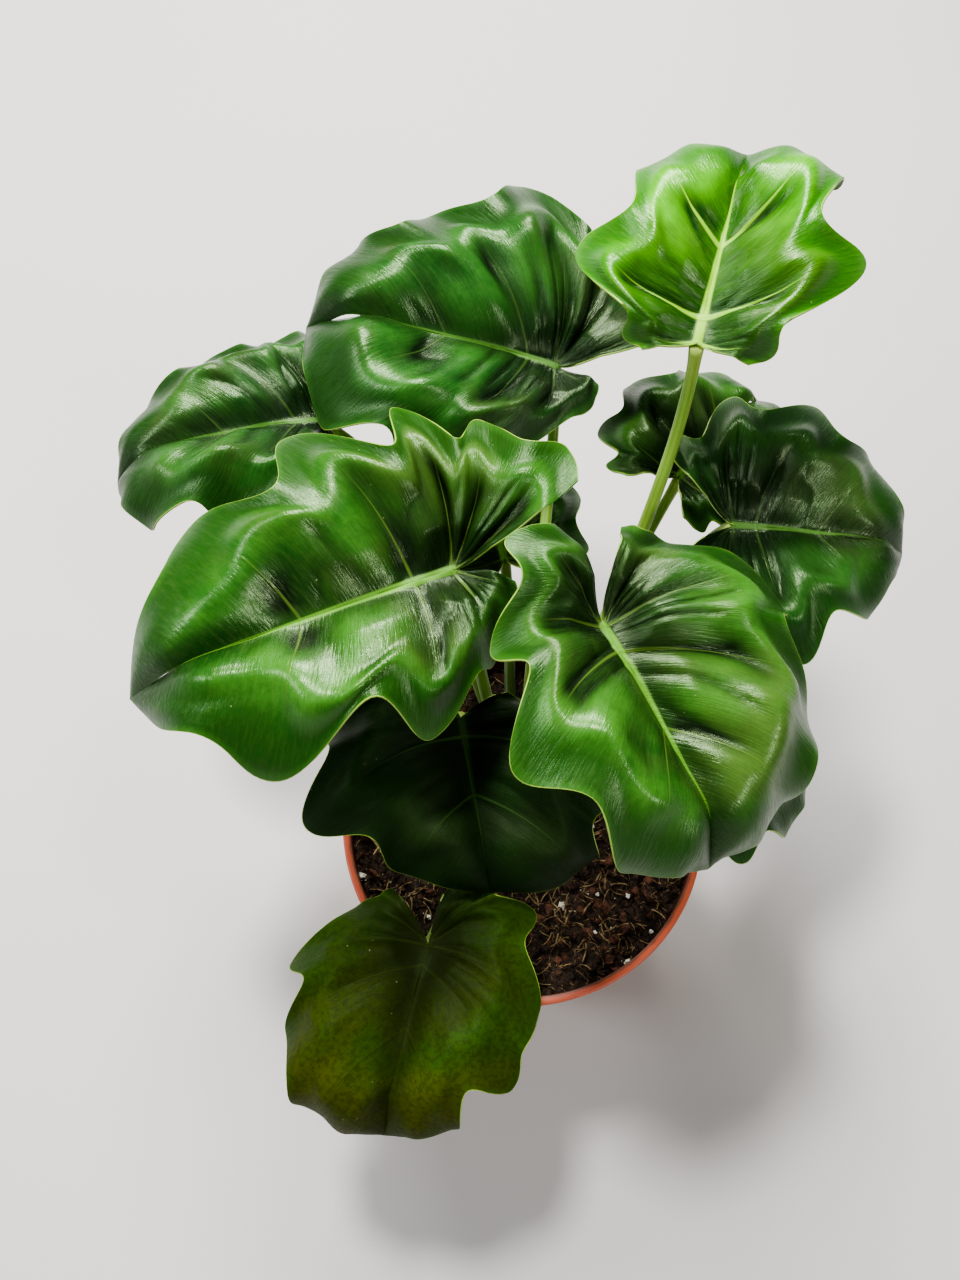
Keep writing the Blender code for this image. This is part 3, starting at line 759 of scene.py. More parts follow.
def joinHalves(shape):
    # both halves as one sheet: points, triangles and what each face corner carries
    points = []
    faces = []
    carried = {}
    begin = 0
    for key, side in (("left", 1), ("right", -1)):
        half, fields = halfBlade(shape, key, side)
        high, wide = half.shape[:2]
        index = begin + np.arange(high * wide).reshape(high, wide)
        a, b = index[:-1, :-1].ravel(), index[:-1, 1:].ravel()
        c, d = index[1:, 1:].ravel(), index[1:, :-1].ravel()
        pair = np.concatenate([np.stack([a, b, c], 1), np.stack([a, c, d], 1)])
        faces.append(pair if side == 1 else pair[:, ::-1])
        points.append(half.reshape(-1, 3))
        for name, values in fields.items():
            carried.setdefault(name, []).append(values.ravel())
        begin += high * wide
    faces = np.concatenate(faces)
    carried = {name: np.concatenate(values) for name, values in carried.items()}
    # the halves share the midrib, and every row that starts at the stem shares one point
    welded, where = weld(np.concatenate(points))
    merged = where[faces]
    first, second, third = merged.T
    whole = (first != second) & (second != third) & (first != third)
    return welded, merged[whole], faces[whole], carried


underRibForm = {
    "steps": 26,
    "sides": 8,
    "reach": 0.93,  # of the blade's length
    "radius": 1.35,  # mm
    "tipRadius": 0.18,  # mm
    "thinning": 0.8,
    "flatness": 0.8,
    "sink": 0.35,  # mm
}


def underRib(shape, axes):
    # the round rib that carries the stem on under the blade
    form = underRibForm
    steps, sides = form["steps"], form["sides"]
    along = np.linspace(0.0, form["reach"], steps)
    spine = droopBlade(np.stack([along * (shape["length"] * mm), 0 * along, 0 * along], -1), shape)
    points = []
    for t, spot in zip(along, spine):
        radius = (form["radius"] * (1 - t) ** form["thinning"] + form["tipRadius"]) * mm
        slope = float(droopSlope(t, shape))
        for angle in turns(sides):
            up = radius * form["flatness"] * math.sin(angle) - form["sink"] * mm
            ahead, down = spot[0] + up * math.sin(slope), spot[2] + up * math.cos(slope)
            points.append((ahead, radius * math.cos(angle), down))
    placed = np.array(points) @ axes.T + np.array(shape["junction"]) * mm
    return placed, tubeFaces(steps, sides, True)


def makeBlade(place, shape):
    axes = leafAxes(shape)
    points, faces, corners, carried = joinHalves(shape)
    placed = points @ axes.T + np.array(shape["junction"]) * mm
    mesh = meshFrom("blade_" + place, placed, faces)
    flat = corners.ravel()
    rows = carried["row"][corners]
    # corners on the shared stem point take the row of their own face
    stemward = (np.abs(carried["ribGap"][corners]) < 0.01) & (carried["along"][corners] < 0.001)
    typical = np.where(stemward, 0, rows).sum(1) / np.maximum((~stemward).sum(1), 1)
    rows = np.where(stemward, typical[:, None], rows)
    across = carried["across"][flat]
    cornerMap(mesh, "veinMap", np.stack([rows.ravel(), across], 1))
    cornerMap(mesh, "ribMap", np.stack([carried["along"][flat], across], 1))
    for name in ("veinGap", "ribGap", "edgeGap", "stemGap", "paintedFoldShade", "outward"):
        cornerValues(mesh, name, carried[name][flat])
    blade = newPiece("blade_" + place, mesh, upperFinishes[shape["tone"]], underFinish, edgeFinish)
    thick = thicken(blade, bladeForm["thickness"])
    thick.material_offset = 1
    thick.material_offset_rim = 2
    settle(blade, "leaf", "leaf_" + place)
    rib = newPiece("rib_" + place, meshFrom("rib_" + place, *underRib(shape, axes)), ribFinish)
    settle(rib, "leaf")
    return len(mesh.polygons)


# stems

stemForm = {
    "baseRadius": 2.1,  # mm
    "tipRadius": 1.7,  # mm
    "sheathRadius": 3.1,  # mm, where the stem clasps the crown
    "sheathLength": 20.0,  # mm
    "sheathCurve": 1.6,
    "knuckle": 0.35,  # mm, the swelling under the blade
    "knuckleLength": 5.0,  # mm
    "groove": 0.16,  # share of the radius
    "grooveWidth": 0.5,  # radians
    "startPull": 0.40,
    "endPull": 0.30,
    "gap": 0.3,  # mm
    "steps": 56,
    "sides": 20,
}
stemLook = {
    "ground": (96, 138, 44), "crest": (134, 166, 66), "foot": (176, 178, 104), "head": (158, 182, 84),
    "low": (58, 78, 26), "speck": (62, 92, 34), "rib": (138, 168, 78), "ribDeep": (112, 148, 62),
    "lineScale": (22.0, 1.5, 1.0),  # round and along the stem
    "speckScale": (16.0, 60.0, 1.0),
    "speckRange": (0.10, 0.22, 0.3, 0.0),
    "footRange": (0.05, 0.35, 0.75, 0.0),
    "headRange": (0.90, 1.0, 0.0, 0.7),
    "lowRange": (0.116, 0.145, 0.85, 0.0),  # m over the floor
}
crownForm = {"centre": (0.0, 8.0), "radius": 8.5, "bottom": 62.0, "top": 122.0, "dome": 6.0}


def stemSkin():
    look = stemLook
    finish = Finish("stemGreen", 0.38, 0.45)
    grown = finish.surfaceMap("stemMap")
    height = finish.part(grown, "Y")
    lines = finish.grain(grown, look["lineScale"])
    finish.begin(finish.spread(lines, 0.3, 0.7), look["ground"], look["crest"])
    finish.over(height, look["footRange"], look["foot"])
    finish.over(height, look["headRange"], look["head"])
    # stems are darker low down, near the soil
    finish.over(finish.part(finish.place(), "Z"), look["lowRange"], look["low"])
    finish.over(finish.cells(grown, look["speckScale"]), look["speckRange"], look["speck"])
    return finish.done(finish.bump(lines, 0.4, 0.0003), finish.spread(lines, 0.2, 0.8, 0.32, 0.46))


def ribSkin():
    finish = Finish("ribGreen", 0.45)
    finish.begin(finish.grain(finish.place(), 260.0), stemLook["rib"], stemLook["ribDeep"])
    return finish.done()


def stemLine(shape, axes):
    # from the crown's middle out and up, then to the blade's underside
    height, bearing, slope, meets = shape["stem"]
    bearing, slope, meets = math.radians(bearing), math.radians(slope), math.radians(meets)
    flat = math.cos(slope)
    away = np.array([math.cos(bearing) * flat, math.sin(bearing) * flat, math.sin(slope)])
    arrive = axes[:, 0] * math.cos(meets) + axes[:, 2] * math.sin(meets)
    below = bladeForm["solidThickness"] / 2 + stemForm["tipRadius"] * mm * math.cos(meets)
    below = below - stemForm["gap"] * mm
    start = np.array([*crownForm["centre"], height]) * mm
    end = np.array(shape["junction"]) * mm - axes[:, 2] * below
    reach = np.linalg.norm(end - start)
    first = start + away * reach * stemForm["startPull"]
    second = end - arrive * reach * stemForm["endPull"]
    t = np.linspace(0, 1, stemForm["steps"])[:, None]
    early = start * (1 - t) ** 3 + first * 3 * t * (1 - t) ** 2
    late = second * 3 * t * t * (1 - t) + end * t ** 3
    return early + late


def makeStem(place, shape):
    form = stemForm
    line = stemLine(shape, leafAxes(shape))
    steps, sides = form["steps"], form["sides"]
    ahead = np.gradient(line, axis=0)
    ahead /= np.linalg.norm(ahead, axis=1, keepdims=True)
    travelled = np.concatenate([[0], np.cumsum(np.linalg.norm(np.diff(line, axis=0), axis=1))])
    whole = travelled[-1]
    # one steady sideways direction keeps the tube from twisting
    sideways = np.cross([0, 0, 1.0], line[-1] - line[0])
    sideways /= max(np.linalg.norm(sideways), 1e-9)
    points = []
    for i in range(steps):
        left = sideways - ahead[i] * np.dot(sideways, ahead[i])
        left /= np.linalg.norm(left)
        top = np.cross(ahead[i], left)
        radius = form["baseRadius"] + (form["tipRadius"] - form["baseRadius"]) * (travelled[i] / whole)
        clasp = 1 - ramp(travelled[i] / mm - crownForm["radius"], form["sheathLength"])
        radius += (form["sheathRadius"] - form["baseRadius"]) * clasp ** form["sheathCurve"]
        radius += form["knuckle"] * hump((whole - travelled[i]) / mm, form["knuckleLength"])
        for angle in turns(sides):
            r = radius * mm * (1 - form["groove"] * hump(angle - math.pi / 2, form["grooveWidth"]))
            points.append(line[i] + left * r * math.cos(angle) + top * r * math.sin(angle))
    corners = []
    for low, high in zip(travelled[:-1] / whole, travelled[1:] / whole):
        for k in range(sides):
            corners += cellCorners(k / sides, (k + 1) / sides, low, high)
    corners += [(k / sides, 0.0) for k in range(sides)][::-1]
    corners += [(k / sides, 1.0) for k in range(sides)]
    mesh = meshFrom("stalk_" + place, points, tubeFaces(steps, sides))
    cornerMap(mesh, "stemMap", corners)
    settle(newPiece("stalk_" + place, mesh, stemFinish), "stem", "stem_" + place)


stemFinish = stemSkin()
ribFinish = ribSkin()
bladeFaces = 0
for place, own in leafShapes.items():
    shape = {**leafBase, **own}
    bladeFaces += makeBlade(place, shape)
    makeStem(place, shape)
print("blades and stems made:", len(leafShapes), "with", bladeFaces, "sheet triangles")


# crown

crownLook = {
    "rings": 9,  # old leaf scars
    "ringDepth": 0.35,  # mm
    "girth": 0.97,
    "wobbles": ((0.035, 3, 0.35), (0.02, 7, -0.6)),  # size, how many round it, twist for each mm
    "sides": 56,
    "steps": 70,
    "domeSteps": 8,
    "low": (96, 78, 48), "high": (126, 142, 66), "fibre": (74, 60, 34), "patch": (156, 160, 90),
    "greenFrom": (0.090, 0.112),  # m over the floor
    "fibreScale": (420.0, 420.0, 60.0),
}
scaleForm = {
    "count": 7,  # dry papery scales round the foot
    "foot": 92.5,  # mm over the floor
    "length": 17.0,  # mm
    "width": 7.5,  # mm
    "lean": 2.6,  # mm out at the tip
    "gap": 0.5,  # mm from the crown
    "thickness": 0.35 * mm,
    "rows": 14,
    "columns": 8,
    "ground": (150, 112, 66), "streak": (98, 66, 38), "tip": (72, 46, 28),
    "streakScale": (18.0, 2.0, 1.0),
}


def crownSkin():
    look = crownLook
    finish = Finish("crownBark", 0.62, 0.3)
    place = finish.place()
    fibre = finish.grain(place, look["fibreScale"], 4.0)
    finish.begin(finish.spread(finish.part(place, "Z"), *look["greenFrom"]), look["low"], look["high"])
    finish.over(fibre, (0.3, 0.7, 0.0, 0.6), look["fibre"])
    finish.over(finish.grain(place, 130.0), (0.5, 0.7, 0.0, 0.5), look["patch"])
    return finish.done(finish.bump(fibre, 0.6, 0.0006))


def scaleSkin():
    finish = Finish("dryScale", 0.75, 0.2)
    grown = finish.surfaceMap("scaleMap")
    lines = finish.grain(grown, scaleForm["streakScale"], 4.0)
    finish.begin(finish.spread(lines, 0.3, 0.7), scaleForm["ground"], scaleForm["streak"])
    finish.over(finish.part(grown, "Y"), (0.6, 1.0), scaleForm["tip"])
    return finish.done(finish.bump(lines, 0.6, 0.0004))


def aroundCrown(radius, height, angle):
    # a point off the crown's axis, in metres
    x = crownForm["centre"][0] + radius * math.cos(angle)
    y = crownForm["centre"][1] + radius * math.sin(angle)
    return x * mm, y * mm, height * mm


def makeCrown():
    form, look = crownForm, crownLook
    steps, domeSteps, sides = look["steps"], look["domeSteps"], look["sides"]
    profile = [(0.0, form["bottom"])]
    for i in range(steps + 1):
        height = form["bottom"] + (form["top"] - form["dome"] - form["bottom"]) * i / steps
        scar = math.sin(math.pi * look["rings"] * i / steps) ** 8
        profile.append((form["radius"] - look["ringDepth"] * (1 - scar), height))
    for i in range(1, domeSteps + 1):
        angle = math.pi / 2 * i / domeSteps
        radius = (form["radius"] - look["ringDepth"]) * math.cos(angle)
        profile.append((radius, form["top"] - form["dome"] * (1 - math.sin(angle))))
    points = []
    for radius, height in profile:
        for angle in turns(sides):
            wobble = 1
            for size, count, twist in look["wobbles"]:
                wobble += size * math.sin(count * angle + height * twist)
            points.append(aroundCrown(radius * wobble * look["girth"], height, angle))
    mesh = weldedMesh("crownStub", points, ringFaces(len(profile), sides))
    settle(newPiece("crownStub", mesh, crownSkin()), "crown", "crown")


def makeScales():
    # dry scales left by old leaves, leaning on the crown's foot
    form = scaleForm
    crownRadius = crownForm["radius"]
    points, faces, corners = [], [], []
    high, wide = form["rows"], form["columns"]
    for s in range(form["count"]):
        # each a little different from the last
        bearing = 2 * math.pi * s / form["count"] + 0.4 * math.sin(s * 2.3)
        foot = form["foot"] + 1.2 * math.sin(s * 1.7)
        length = form["length"] * (0.75 + 0.25 * math.cos(s * 2.9))
        begin = len(points)
        for i in range(high + 1):
            up = i / high
            half = form["width"] / 2 * (1 - up) ** 0.6 + 0.15
            lean = crownRadius + form["gap"] + form["lean"] * up ** 2 * (1 + 0.4 * math.sin(s * 3.1))
            for k in range(wide + 1):
                side = (k / wide - 0.5) * 2
                turn = bearing + side * half / crownRadius
                points.append(aroundCrown(lean + 0.5 * side * side * up, foot + length * up, turn))
        for i in range(high):
            for k in range(wide):
                a = begin + i * (wide + 1) + k
                faces.append((a, a + 1, a + wide + 2, a + wide + 1))
                u, v = k / wide + s, i / high
                corners += cellCorners(u, u + 1 / wide, v, v + 1 / high)
    mesh = meshFrom("dryScales", points, faces)
    cornerMap(mesh, "scaleMap", corners)
    scales = newPiece("dryScales", mesh, scaleSkin())
    thicken(scales, form["thickness"])
    settle(scales, "crown")


makeCrown()
makeScales()
print("crown made")


# pot

potForm = {  # mm
    "height": 100.0,
    "rim": 60.0,
    "lipHeight": 2.2,
    "lipRound": 0.8,
    "edgeRound": 0.5,
    "collar": 58.6,
    "collarBottom": 83.0,
    "collarRound": 0.6,
    "bodyTop": 56.2,
    "base": 42.0,
    "wall": 1.4,
    "floor": 1.8,
    "edge": 1.5,
    "bodySteps": 8,
    "steps": 160,
    "holes": 6,
    "holeRadius": 4.5,
    "holeRing": 27.0,
    "holeSides": 32,
    "sharpAbove": 32,  # degrees
}
potLook = {
    "ground": (172, 78, 52), "crest": (190, 94, 64), "swirl": (150, 62, 42), "speckle": (204, 120, 88),
    "dusty": (110, 74, 52), "peatStainAndShade": (66, 40, 30),
    "cloudScale": 22.0,
    "speckleScale": 900.0,
    "swirlScale": (16.0, 16.0, 150.0),
    "dustyFrom": (0.086, 0.098, 0.0, 0.22),  # m over the floor
    "stainAndShadeWithin": (0.0582, 0.0592, 0.85, 0.0),  # m from the middle
    "stainAndShadeAbove": (0.080, 0.086),  # m over the floor
}


def potSkin():
    look = potLook
    finish = Finish("terracottaPlastic", 0.42, 0.45)
    place = finish.place()
    height = finish.part(place, "Z")
    cloud = finish.grain(place, look["cloudScale"], 4.0)
    speckle = finish.grain(place, look["speckleScale"], 2.0)
    swirl = finish.grain(place, look["swirlScale"])
    finish.begin(finish.spread(cloud, 0.35, 0.7), look["ground"], look["crest"])
    finish.over(swirl, (0.4, 0.7, 0.0, 0.25), look["swirl"])
    finish.over(speckle, (0.6, 0.75, 0.0, 0.3), look["speckle"])
    dusty = finish.times(finish.spread(height, *look["dustyFrom"]), finish.spread(cloud, 0.5, 0.65))
    finish.layer(dusty, look["dusty"])
    # peat stain and painted shade on the inner wall and the lip's inner edge
    flat = finish.stretch(place, (1.0, 1.0, 0.0))
    fromMiddle = finish.add("ShaderNodeVectorMath", {0: flat}, "Value", operation="LENGTH")
    stainAndShadeReach = finish.plus(fromMiddle, finish.times(finish.grain(place, 180.0), 0.0012))
    above = finish.spread(height, *look["stainAndShadeAbove"])
    finish.layer(finish.times(finish.spread(stainAndShadeReach, *look["stainAndShadeWithin"]), above), look["peatStainAndShade"])
    normal = finish.bump(swirl, 0.25, 0.0003, finish.bump(speckle, 0.12, 0.0001))
    return finish.done(normal, finish.spread(cloud, 0.3, 0.7, 0.36, 0.5))


def roundCorner(radius, height, size, fromAngle, toAngle, steps=5):
    # points on a small arc about (radius, height)
    arc = []
    for i in range(steps + 1):
        angle = math.radians(fromAngle + (toAngle - fromAngle) * i / steps)
        arc.append((radius + size * math.cos(angle), height + size * math.sin(angle)))
    return arc


def potProfile():
    # from the inside floor's middle up, over the lip and down to the underside's middle
    form = potForm
    wall, top, floor, base, edge = (form[key] for key in ("wall", "height", "floor", "base", "edge"))
    collar, step, body = (form[key] for key in ("collar", "collarBottom", "bodyTop"))
    small, lip, bend = (form[key] for key in ("edgeRound", "lipRound", "collarRound"))
    inner = collar - wall
    underLip = top - form["lipHeight"]
    points = [(0.0, floor), (base - wall - edge, floor), (base - wall, floor + edge)]
    points += [(body - wall, step - wall), (inner, step + wall), (inner, top - 1.2)]
    points += roundCorner(inner + small, top - small, small, 180, 90)
    points += roundCorner(form["rim"] - lip, top - lip, lip, 90, 0)
    points += roundCorner(form["rim"] - small, underLip + small, small, 0, -90)
    points += [(collar + 0.2, underLip), (collar, underLip - 0.3), (collar, top - 9.0)]
    points += [(collar - 0.05, step + 0.8)]
    points += roundCorner(collar - bend, step + 0.4, bend, 0, -70)
    points += [(body, step - 2 * wall)]
    bodyTop, bodyHeight = body - 0.25, step - 2 * wall - 1.5
    for i in range(form["bodySteps"]):
        share = i / form["bodySteps"]
        points.append((bodyTop * (1 - share) + base * share, bodyHeight * (1 - share) + edge * share))
    points += roundCorner(base - edge, edge, edge, 0, -90, 6)
    return points + [(base - 6.0, 0.0), (0.0, 0.0)]


def makePot():
    form = potForm
    profile = potProfile()
    faces = ringFaces(len(profile), form["steps"], True)
    blank = newPiece("potBlank", weldedMesh("potBlank", ringPoints(profile, form["steps"]), faces))
    cutters = []
    sides, radius = form["holeSides"], form["holeRadius"] * mm
    for spot in ringPoints([(form["holeRing"], 0.0)], form["holes"]):
        bpy.ops.mesh.primitive_cylinder_add(vertices=sides, radius=radius, depth=0.01, location=spot)
        cutters.append(bpy.context.object)
        cut = blank.modifiers.new("drain", "BOOLEAN")
        cut.solver = "EXACT"
        cut.object = cutters[-1]
    mesh = evaluatedMesh(blank)
    for spare in cutters + [blank]:
        bpy.data.objects.remove(spare, do_unlink=True)
    mesh.polygons.foreach_set("use_smooth", [True] * len(mesh.polygons))
    mesh.set_sharp_from_angle(angle=math.radians(form["sharpAbove"]))
    mesh.materials.clear()
    settle(newPiece("nurseryPot", mesh, potSkin()), "pot", "pot")


makePot()
print("pot made")


# soil

soilForm = {
    "top": 91.5,  # mm
    "mound": 2.5,  # mm
    "bump": 0.7,  # mm
    "waves": (310.0, 270.0, 520.0, 410.0),
    "crumbHeight": 1.5,  # mm
    "crumbsPerMetre": 420,
    "clear": 0.1,  # mm to the pot's wall
    "clearBelow": 0.3,  # mm
    "rings": 84,
    "sides": 200,
}
soilLook = {  # the light and the dark of each
    "darkPeat": ((74, 60, 50), (24, 18, 16)),
    "barkBrown": ((116, 78, 60), (46, 32, 26)),
    "fibreBrown": ((186, 160, 116), (92, 72, 50)),
    "perliteWhite": ((232, 228, 218), (186, 168, 142)),
    "fleck": (96, 66, 44),
}
scatterInputs = {
    "Density": "NodeSocketFloat", "Smallest": "NodeSocketFloat", "Largest": "NodeSocketFloat",
    "Seed": "NodeSocketInt",
}
# Density is pieces to a square metre. dents knead a ball out of round, and tilt is how far a
# piece turns from level, in radians.
peatScatter = {
    "name": "peatCrumbs",
    "inputs": {"Density": 260000.0, "Smallest": 0.5 * mm, "Largest": 2.4 * mm, "Seed": 3},
    "detail": 1, "dents": (1.5, 1.2, 0.9), "tilt": math.pi,
}
barkScatter = {
    "name": "barkChips",
    "inputs": {"Density": 50000.0, "Smallest": 1.0 * mm, "Largest": 4.5 * mm, "Seed": 8},
    "detail": 1, "dents": (2.4, 0.5, 0.25), "tilt": math.pi,
}
grainScatter = {
    "name": "perliteGrains",
    "inputs": {"Density": 30000.0, "Smallest": 0.4 * mm, "Largest": 3.4 * mm, "Seed": 21},
    "detail": 2, "dents": (1.5, 1.2, 0.9), "tilt": math.pi, "gathered": (0.42, 0.68),
}
fibreScatter = {
    "name": "peatFibres",
    "inputs": {"Density": 170000.0, "Smallest": 1.8 * mm, "Largest": 9.0 * mm, "Seed": 12},
    "bend": ((-0.5, 0.0, -0.05), (0.05, 0.28, 0.16), (0.5, -0.06, -0.04)), "radius": 0.030, "tilt": 0.6,
}


def peatSkin(name):
    light, dark = soilLook[name]
    finish = Finish(name, 0.92, 0.2)
    place = finish.place()
    coarse = finish.grain(place, 300.0, 5.0, 0.7)
    fine = finish.grain(place, 1500.0, 4.0, 0.7)
    finish.begin(finish.spread(coarse, 0.38, 0.66), dark, light)
    finish.over(fine, (0.60, 0.72, 0.0, 0.6), soilLook["fleck"])
    return finish.done(finish.bump(fine, 0.8, 0.0006, finish.bump(coarse, 0.8, 0.0012)))


def perliteSkin(name):
    finish = Finish(name, 0.85, 0.25)
    place = finish.place()
    stain = finish.spread(finish.grain(place, 420.0), 0.5, 0.75, 0.0, 0.5)
    finish.begin(stain, *soilLook[name])
    return finish.done(finish.bump(finish.cells(place, 1400.0), 0.6, 0.0004))


def soilHeight(x, y):
    # the solid's mound and bumps, in mm above its top
    form = soilForm
    reach = math.hypot(x, y) / (potForm["collar"] * mm)
    first, second, third, fourth = form["waves"]
    bumps = math.sin(first * x) * math.cos(second * y) + 0.6 * math.sin(third * y + fourth * x)
    crumbs = noise.fractal(Vector((x, y, 0.0)) * form["crumbsPerMetre"], 0.6, 2.1, 4)
    base = form["mound"] * (1 - reach * reach) + form["bump"] * bumps * (1 - reach ** 4)
    return base + form["crumbHeight"] * crumbs


def makeSoil():
    form = soilForm
    wall = potForm["collar"] - potForm["wall"] - form["clear"]
    body = potForm["bodyTop"] - potForm["wall"] - form["clearBelow"]
    foot = potForm["base"] - potForm["wall"] - form["clearBelow"]
    step, floor = potForm["collarBottom"], potForm["floor"]
    rings, sides = form["rings"], form["sides"]
    level = ringPoints([(wall * i / rings, 0.0) for i in range(rings + 1)], sides)
    points = [(x, y, (form["top"] + soilHeight(x, y)) * mm) for x, y, z in level]
    topMesh = weldedMesh("soilTop", points, ringFaces(rings + 1, sides, True))
    lower = [(wall, step + 2.0), (body, step - 1.1), (foot, floor + 1.8)]
    lower += [(foot - 1.5, floor + 0.3), (0.0, floor + 0.3)]
    points += ringPoints(lower, sides)
    mesh = weldedMesh("peatSoil", points, ringFaces(rings + 1 + len(lower), sides, True))
    settle(newPiece("peatSoil", mesh, peatFinish), "soil", "soil")
    return topMesh


def scatterTree(settings, material):
    # points on the soil's top, each with a crumb, a chip, a grain or a fibre
    tree = bpy.data.node_groups.new(settings["name"] + "Tree", "GeometryNodeTree")
    tree.interface.new_socket("Geometry", in_out="INPUT", socket_type="NodeSocketGeometry")
    inputs = {}
    for name, kind in scatterInputs.items():
        inputs[name] = tree.interface.new_socket(name, in_out="INPUT", socket_type=kind).identifier
    tree.interface.new_socket("Geometry", in_out="OUTPUT", socket_type="NodeSocketGeometry")
    group = tree.nodes.new("NodeGroupInput").outputs
    result = tree.nodes.new("NodeGroupOutput").inputs

    def add(kind, given, output, **choices):
        return addNode(tree, kind, given, output, **choices)

    density = group["Density"]
    if "gathered" in settings:
        # white grains gather in loose clusters
        low, high = settings["gathered"]
        clump = add("ShaderNodeTexNoise", {"Scale": 55.0}, "Fac")
        given = {"Value": clump, "From Min": low, "From Max": high, "To Max": density}
        density = add("ShaderNodeMapRange", given, "Result")
    given = {"Mesh": group["Geometry"], "Density": density, "Seed": group["Seed"]}
    points = add("GeometryNodeDistributePointsOnFaces", given, "Points")
    if "bend" in settings:
        start, middle, end = settings["bend"]
        given = {"Resolution": 6, "Start": start, "Middle": middle, "End": end}
        bend = add("GeometryNodeCurveQuadraticBezier", given, "Curve")
        given = {"Resolution": 4, "Radius": settings["radius"]}
        ring = add("GeometryNodeCurvePrimitiveCircle", given, "Curve")
        given = {"Curve": bend, "Profile Curve": ring, "Fill Caps": True}
        shape = add("GeometryNodeCurveToMesh", given, "Mesh")
    else:
        given = {"Radius": 0.5, "Subdivisions": settings["detail"]}
        ball = add("GeometryNodeMeshIcoSphere", given, "Mesh")
        rough = add("ShaderNodeTexNoise", {"Scale": 2.3}, "Color")
        centred = add("ShaderNodeVectorMath", {0: rough, 1: (0.5, 0.5, 0.5)}, 0, operation="SUBTRACT")
        dents = add("ShaderNodeVectorMath", {0: centred, 1: settings["dents"]}, 0, operation="MULTIPLY")
        shape = add("GeometryNodeSetPosition", {"Geometry": ball, "Offset": dents}, "Geometry")
    tilt = settings["tilt"]
    given = {0: (-tilt, -tilt, -math.pi), 1: (tilt, tilt, math.pi)}
    turn = add("FunctionNodeRandomValue", given, 0, data_type="FLOAT_VECTOR")
    # most are small and a few are large
    grow = add("FunctionNodeRandomValue", {"Seed": group["Seed"]}, 1, data_type="FLOAT")
    skew = add("ShaderNodeMath", {0: grow, 1: 2.6}, 0, operation="POWER")
    given = {"Value": skew, "To Min": group["Smallest"], "To Max": group["Largest"]}
    size = add("ShaderNodeMapRange", given, "Result")
    given = {"Points": points, "Instance": shape, "Rotation": turn, "Scale": size}
    placed = add("GeometryNodeInstanceOnPoints", given, "Instances")
    real = add("GeometryNodeRealizeInstances", {"Geometry": placed}, "Geometry")
    painted = add("GeometryNodeSetMaterial", {"Geometry": real, "Material": material}, "Geometry")
    tree.links.new(painted, result["Geometry"])
    return tree, inputs


def keepInside(mesh):
    # what would pass through the pot's wall lies against it instead
    places = np.empty(len(mesh.vertices) * 3, dtype=np.float32)
    mesh.vertices.foreach_get("co", places)
    places = places.reshape(-1, 3)
    reach = np.hypot(places[:, 0], places[:, 1])
    limit = (potForm["collar"] - potForm["wall"] - soilForm["clear"]) * mm
    places[:, :2] *= np.minimum(1, limit / np.maximum(reach, 1e-9))[:, None]
    mesh.vertices.foreach_set("co", places.ravel())
    mesh.update()


def scatter(topMesh, settings, material):
    carrier = newPiece(settings["name"] + "Carrier", topMesh.copy())
    tree, inputs = scatterTree(settings, material)
    strew = carrier.modifiers.new("strew", "NODES")
    strew.node_group = tree
    for name, value in settings["inputs"].items():
        strew[inputs[name]] = value
    mesh = evaluatedMesh(carrier)
    carrier.modifiers.remove(strew)
    bpy.data.objects.remove(carrier, do_unlink=True)
    keepInside(mesh)
    settle(newPiece(settings["name"], mesh), "soil")
    print(settings["name"], "made:", len(mesh.polygons), "faces")


peatFinish = peatSkin("darkPeat")
barkFinish = peatSkin("barkBrown")
fibreFinish = peatSkin("fibreBrown")
soilTop = makeSoil()
scatter(soilTop, peatScatter, peatFinish)
scatter(soilTop, barkScatter, barkFinish)
scatter(soilTop, grainScatter, perliteSkin("perliteWhite"))
scatter(soilTop, fibreScatter, fibreFinish)
print("soil made")


# floor, light and camera

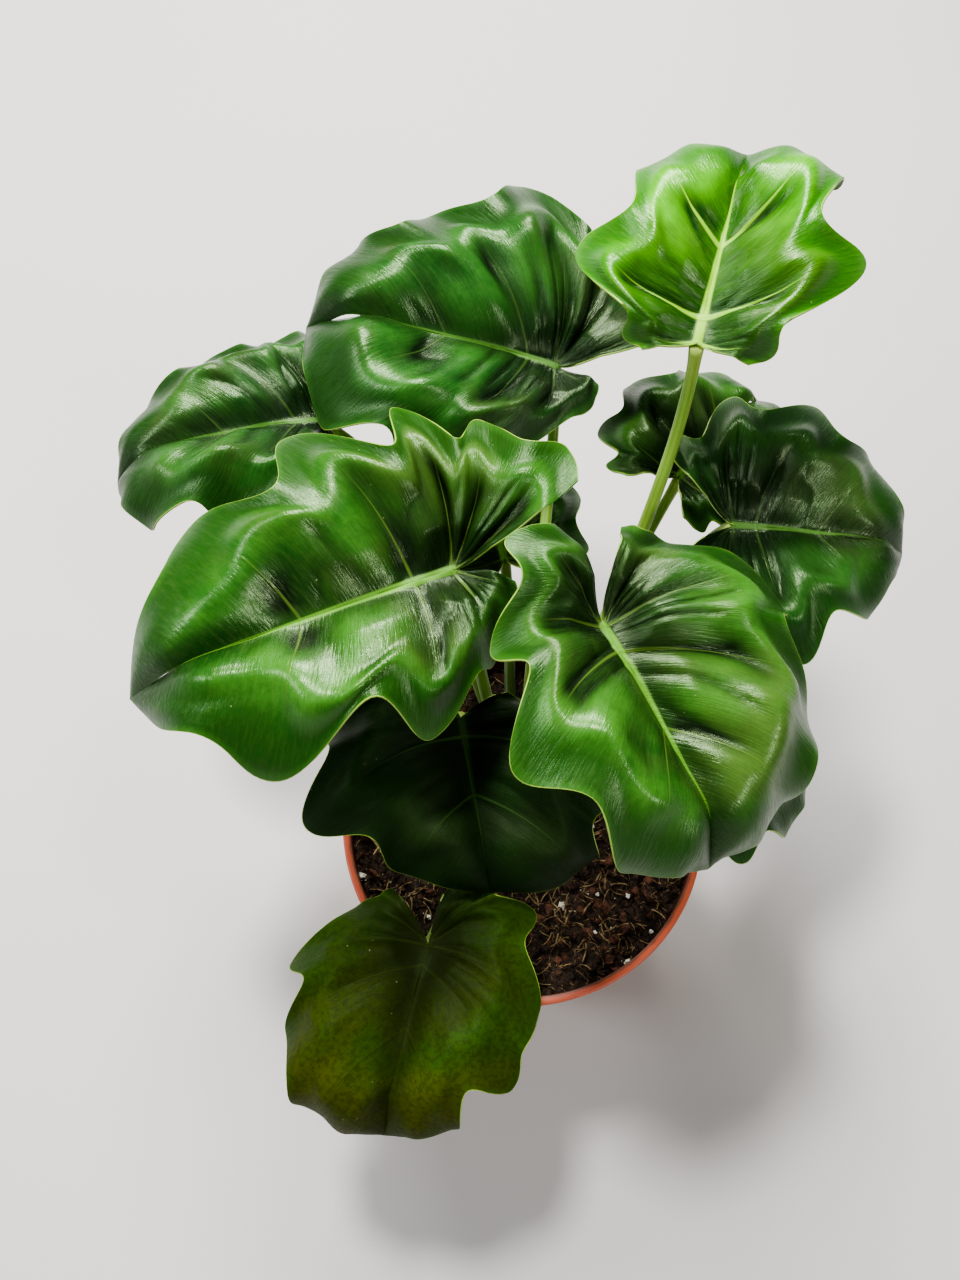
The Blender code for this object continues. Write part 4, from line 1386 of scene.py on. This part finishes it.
stageLook = {
    "floorSize": 6.0,
    "floorHeight": -0.0002,
    "floorColour": (180, 180, 180),
    "floorCloud": (184, 183, 181),
    "skyColour": (226, 228, 230),
    "skyStrength": 0.24,
    # name: (place, aimed at, size, watts, colour)
    "lights": {
        "windowLight": ((-0.15, 0.90, 1.00), (0, 0.05, 0.16), 0.46, 28.0, (255, 252, 247)),
        "lampLight": ((-0.20, 0.38, 1.35), (0, 0.04, 0.16), 0.19, 22.0, (255, 252, 248)),
        "sideLight": ((-1.00, 0.00, 0.85), (0, 0.03, 0.15), 0.40, 8.0, (250, 252, 255)),
        "frontLight": ((0.60, -0.72, 0.80), (0, 0.03, 0.15), 0.16, 5.5, (255, 250, 244)),
    },
    "contrast": "AgX - Medium High Contrast",
}
cameraLook = {
    "place": (-0.0142, -0.1088, 0.5295),
    "lookDown": 68.0,  # degrees below the horizon
    "lens": 37.0,  # mm on a 36 mm long side
}


def floorSkin():
    finish = Finish("paleFloor", 0.65, 0.3)
    soft = finish.spread(finish.grain(finish.place(), 3.0), 0.3, 0.7)
    finish.begin(soft, stageLook["floorColour"], stageLook["floorCloud"])
    return finish.done()


def makeStage():
    look = stageLook
    half, height = look["floorSize"] / 2, look["floorHeight"]
    corners = [(-half, -half, height), (half, -half, height), (half, half, height), (-half, half, height)]
    floor = newPiece("floor", meshFrom("floor", corners, [(0, 1, 2, 3)], False), floorSkin())
    world = bpy.data.worlds.new("paleStudio")
    world.use_nodes = True
    sky = world.node_tree.nodes["Background"]
    sky.inputs["Color"].default_value = shown(look["skyColour"])
    sky.inputs["Strength"].default_value = look["skyStrength"]
    bpy.context.scene.world = world
    bpy.context.scene.view_settings.look = look["contrast"]
    for name, (place, aim, size, watts, colour) in look["lights"].items():
        lamp = bpy.data.lights.new(name, "AREA")
        lamp.shape = "DISK"
        lamp.size = size
        lamp.energy = watts
        lamp.color = shown(colour)[:3]
        light = bpy.data.objects.new(name, lamp)
        light.location = place
        light.rotation_euler = (Vector(aim) - Vector(place)).to_track_quat("-Z", "Y").to_euler()
        bpy.context.scene.collection.objects.link(light)


def makeCamera():
    data = bpy.data.cameras.new("viewCamera")
    data.lens = cameraLook["lens"]
    data.sensor_width = 36.0
    data.clip_start = 0.01
    camera = bpy.data.objects.new("viewCamera", data)
    camera.location = cameraLook["place"]
    camera.rotation_euler = (math.radians(90 - cameraLook["lookDown"]), 0.0, 0.0)
    bpy.context.scene.collection.objects.link(camera)
    bpy.context.scene.camera = camera


makeStage()
makeCamera()
print("floor, light and camera made")
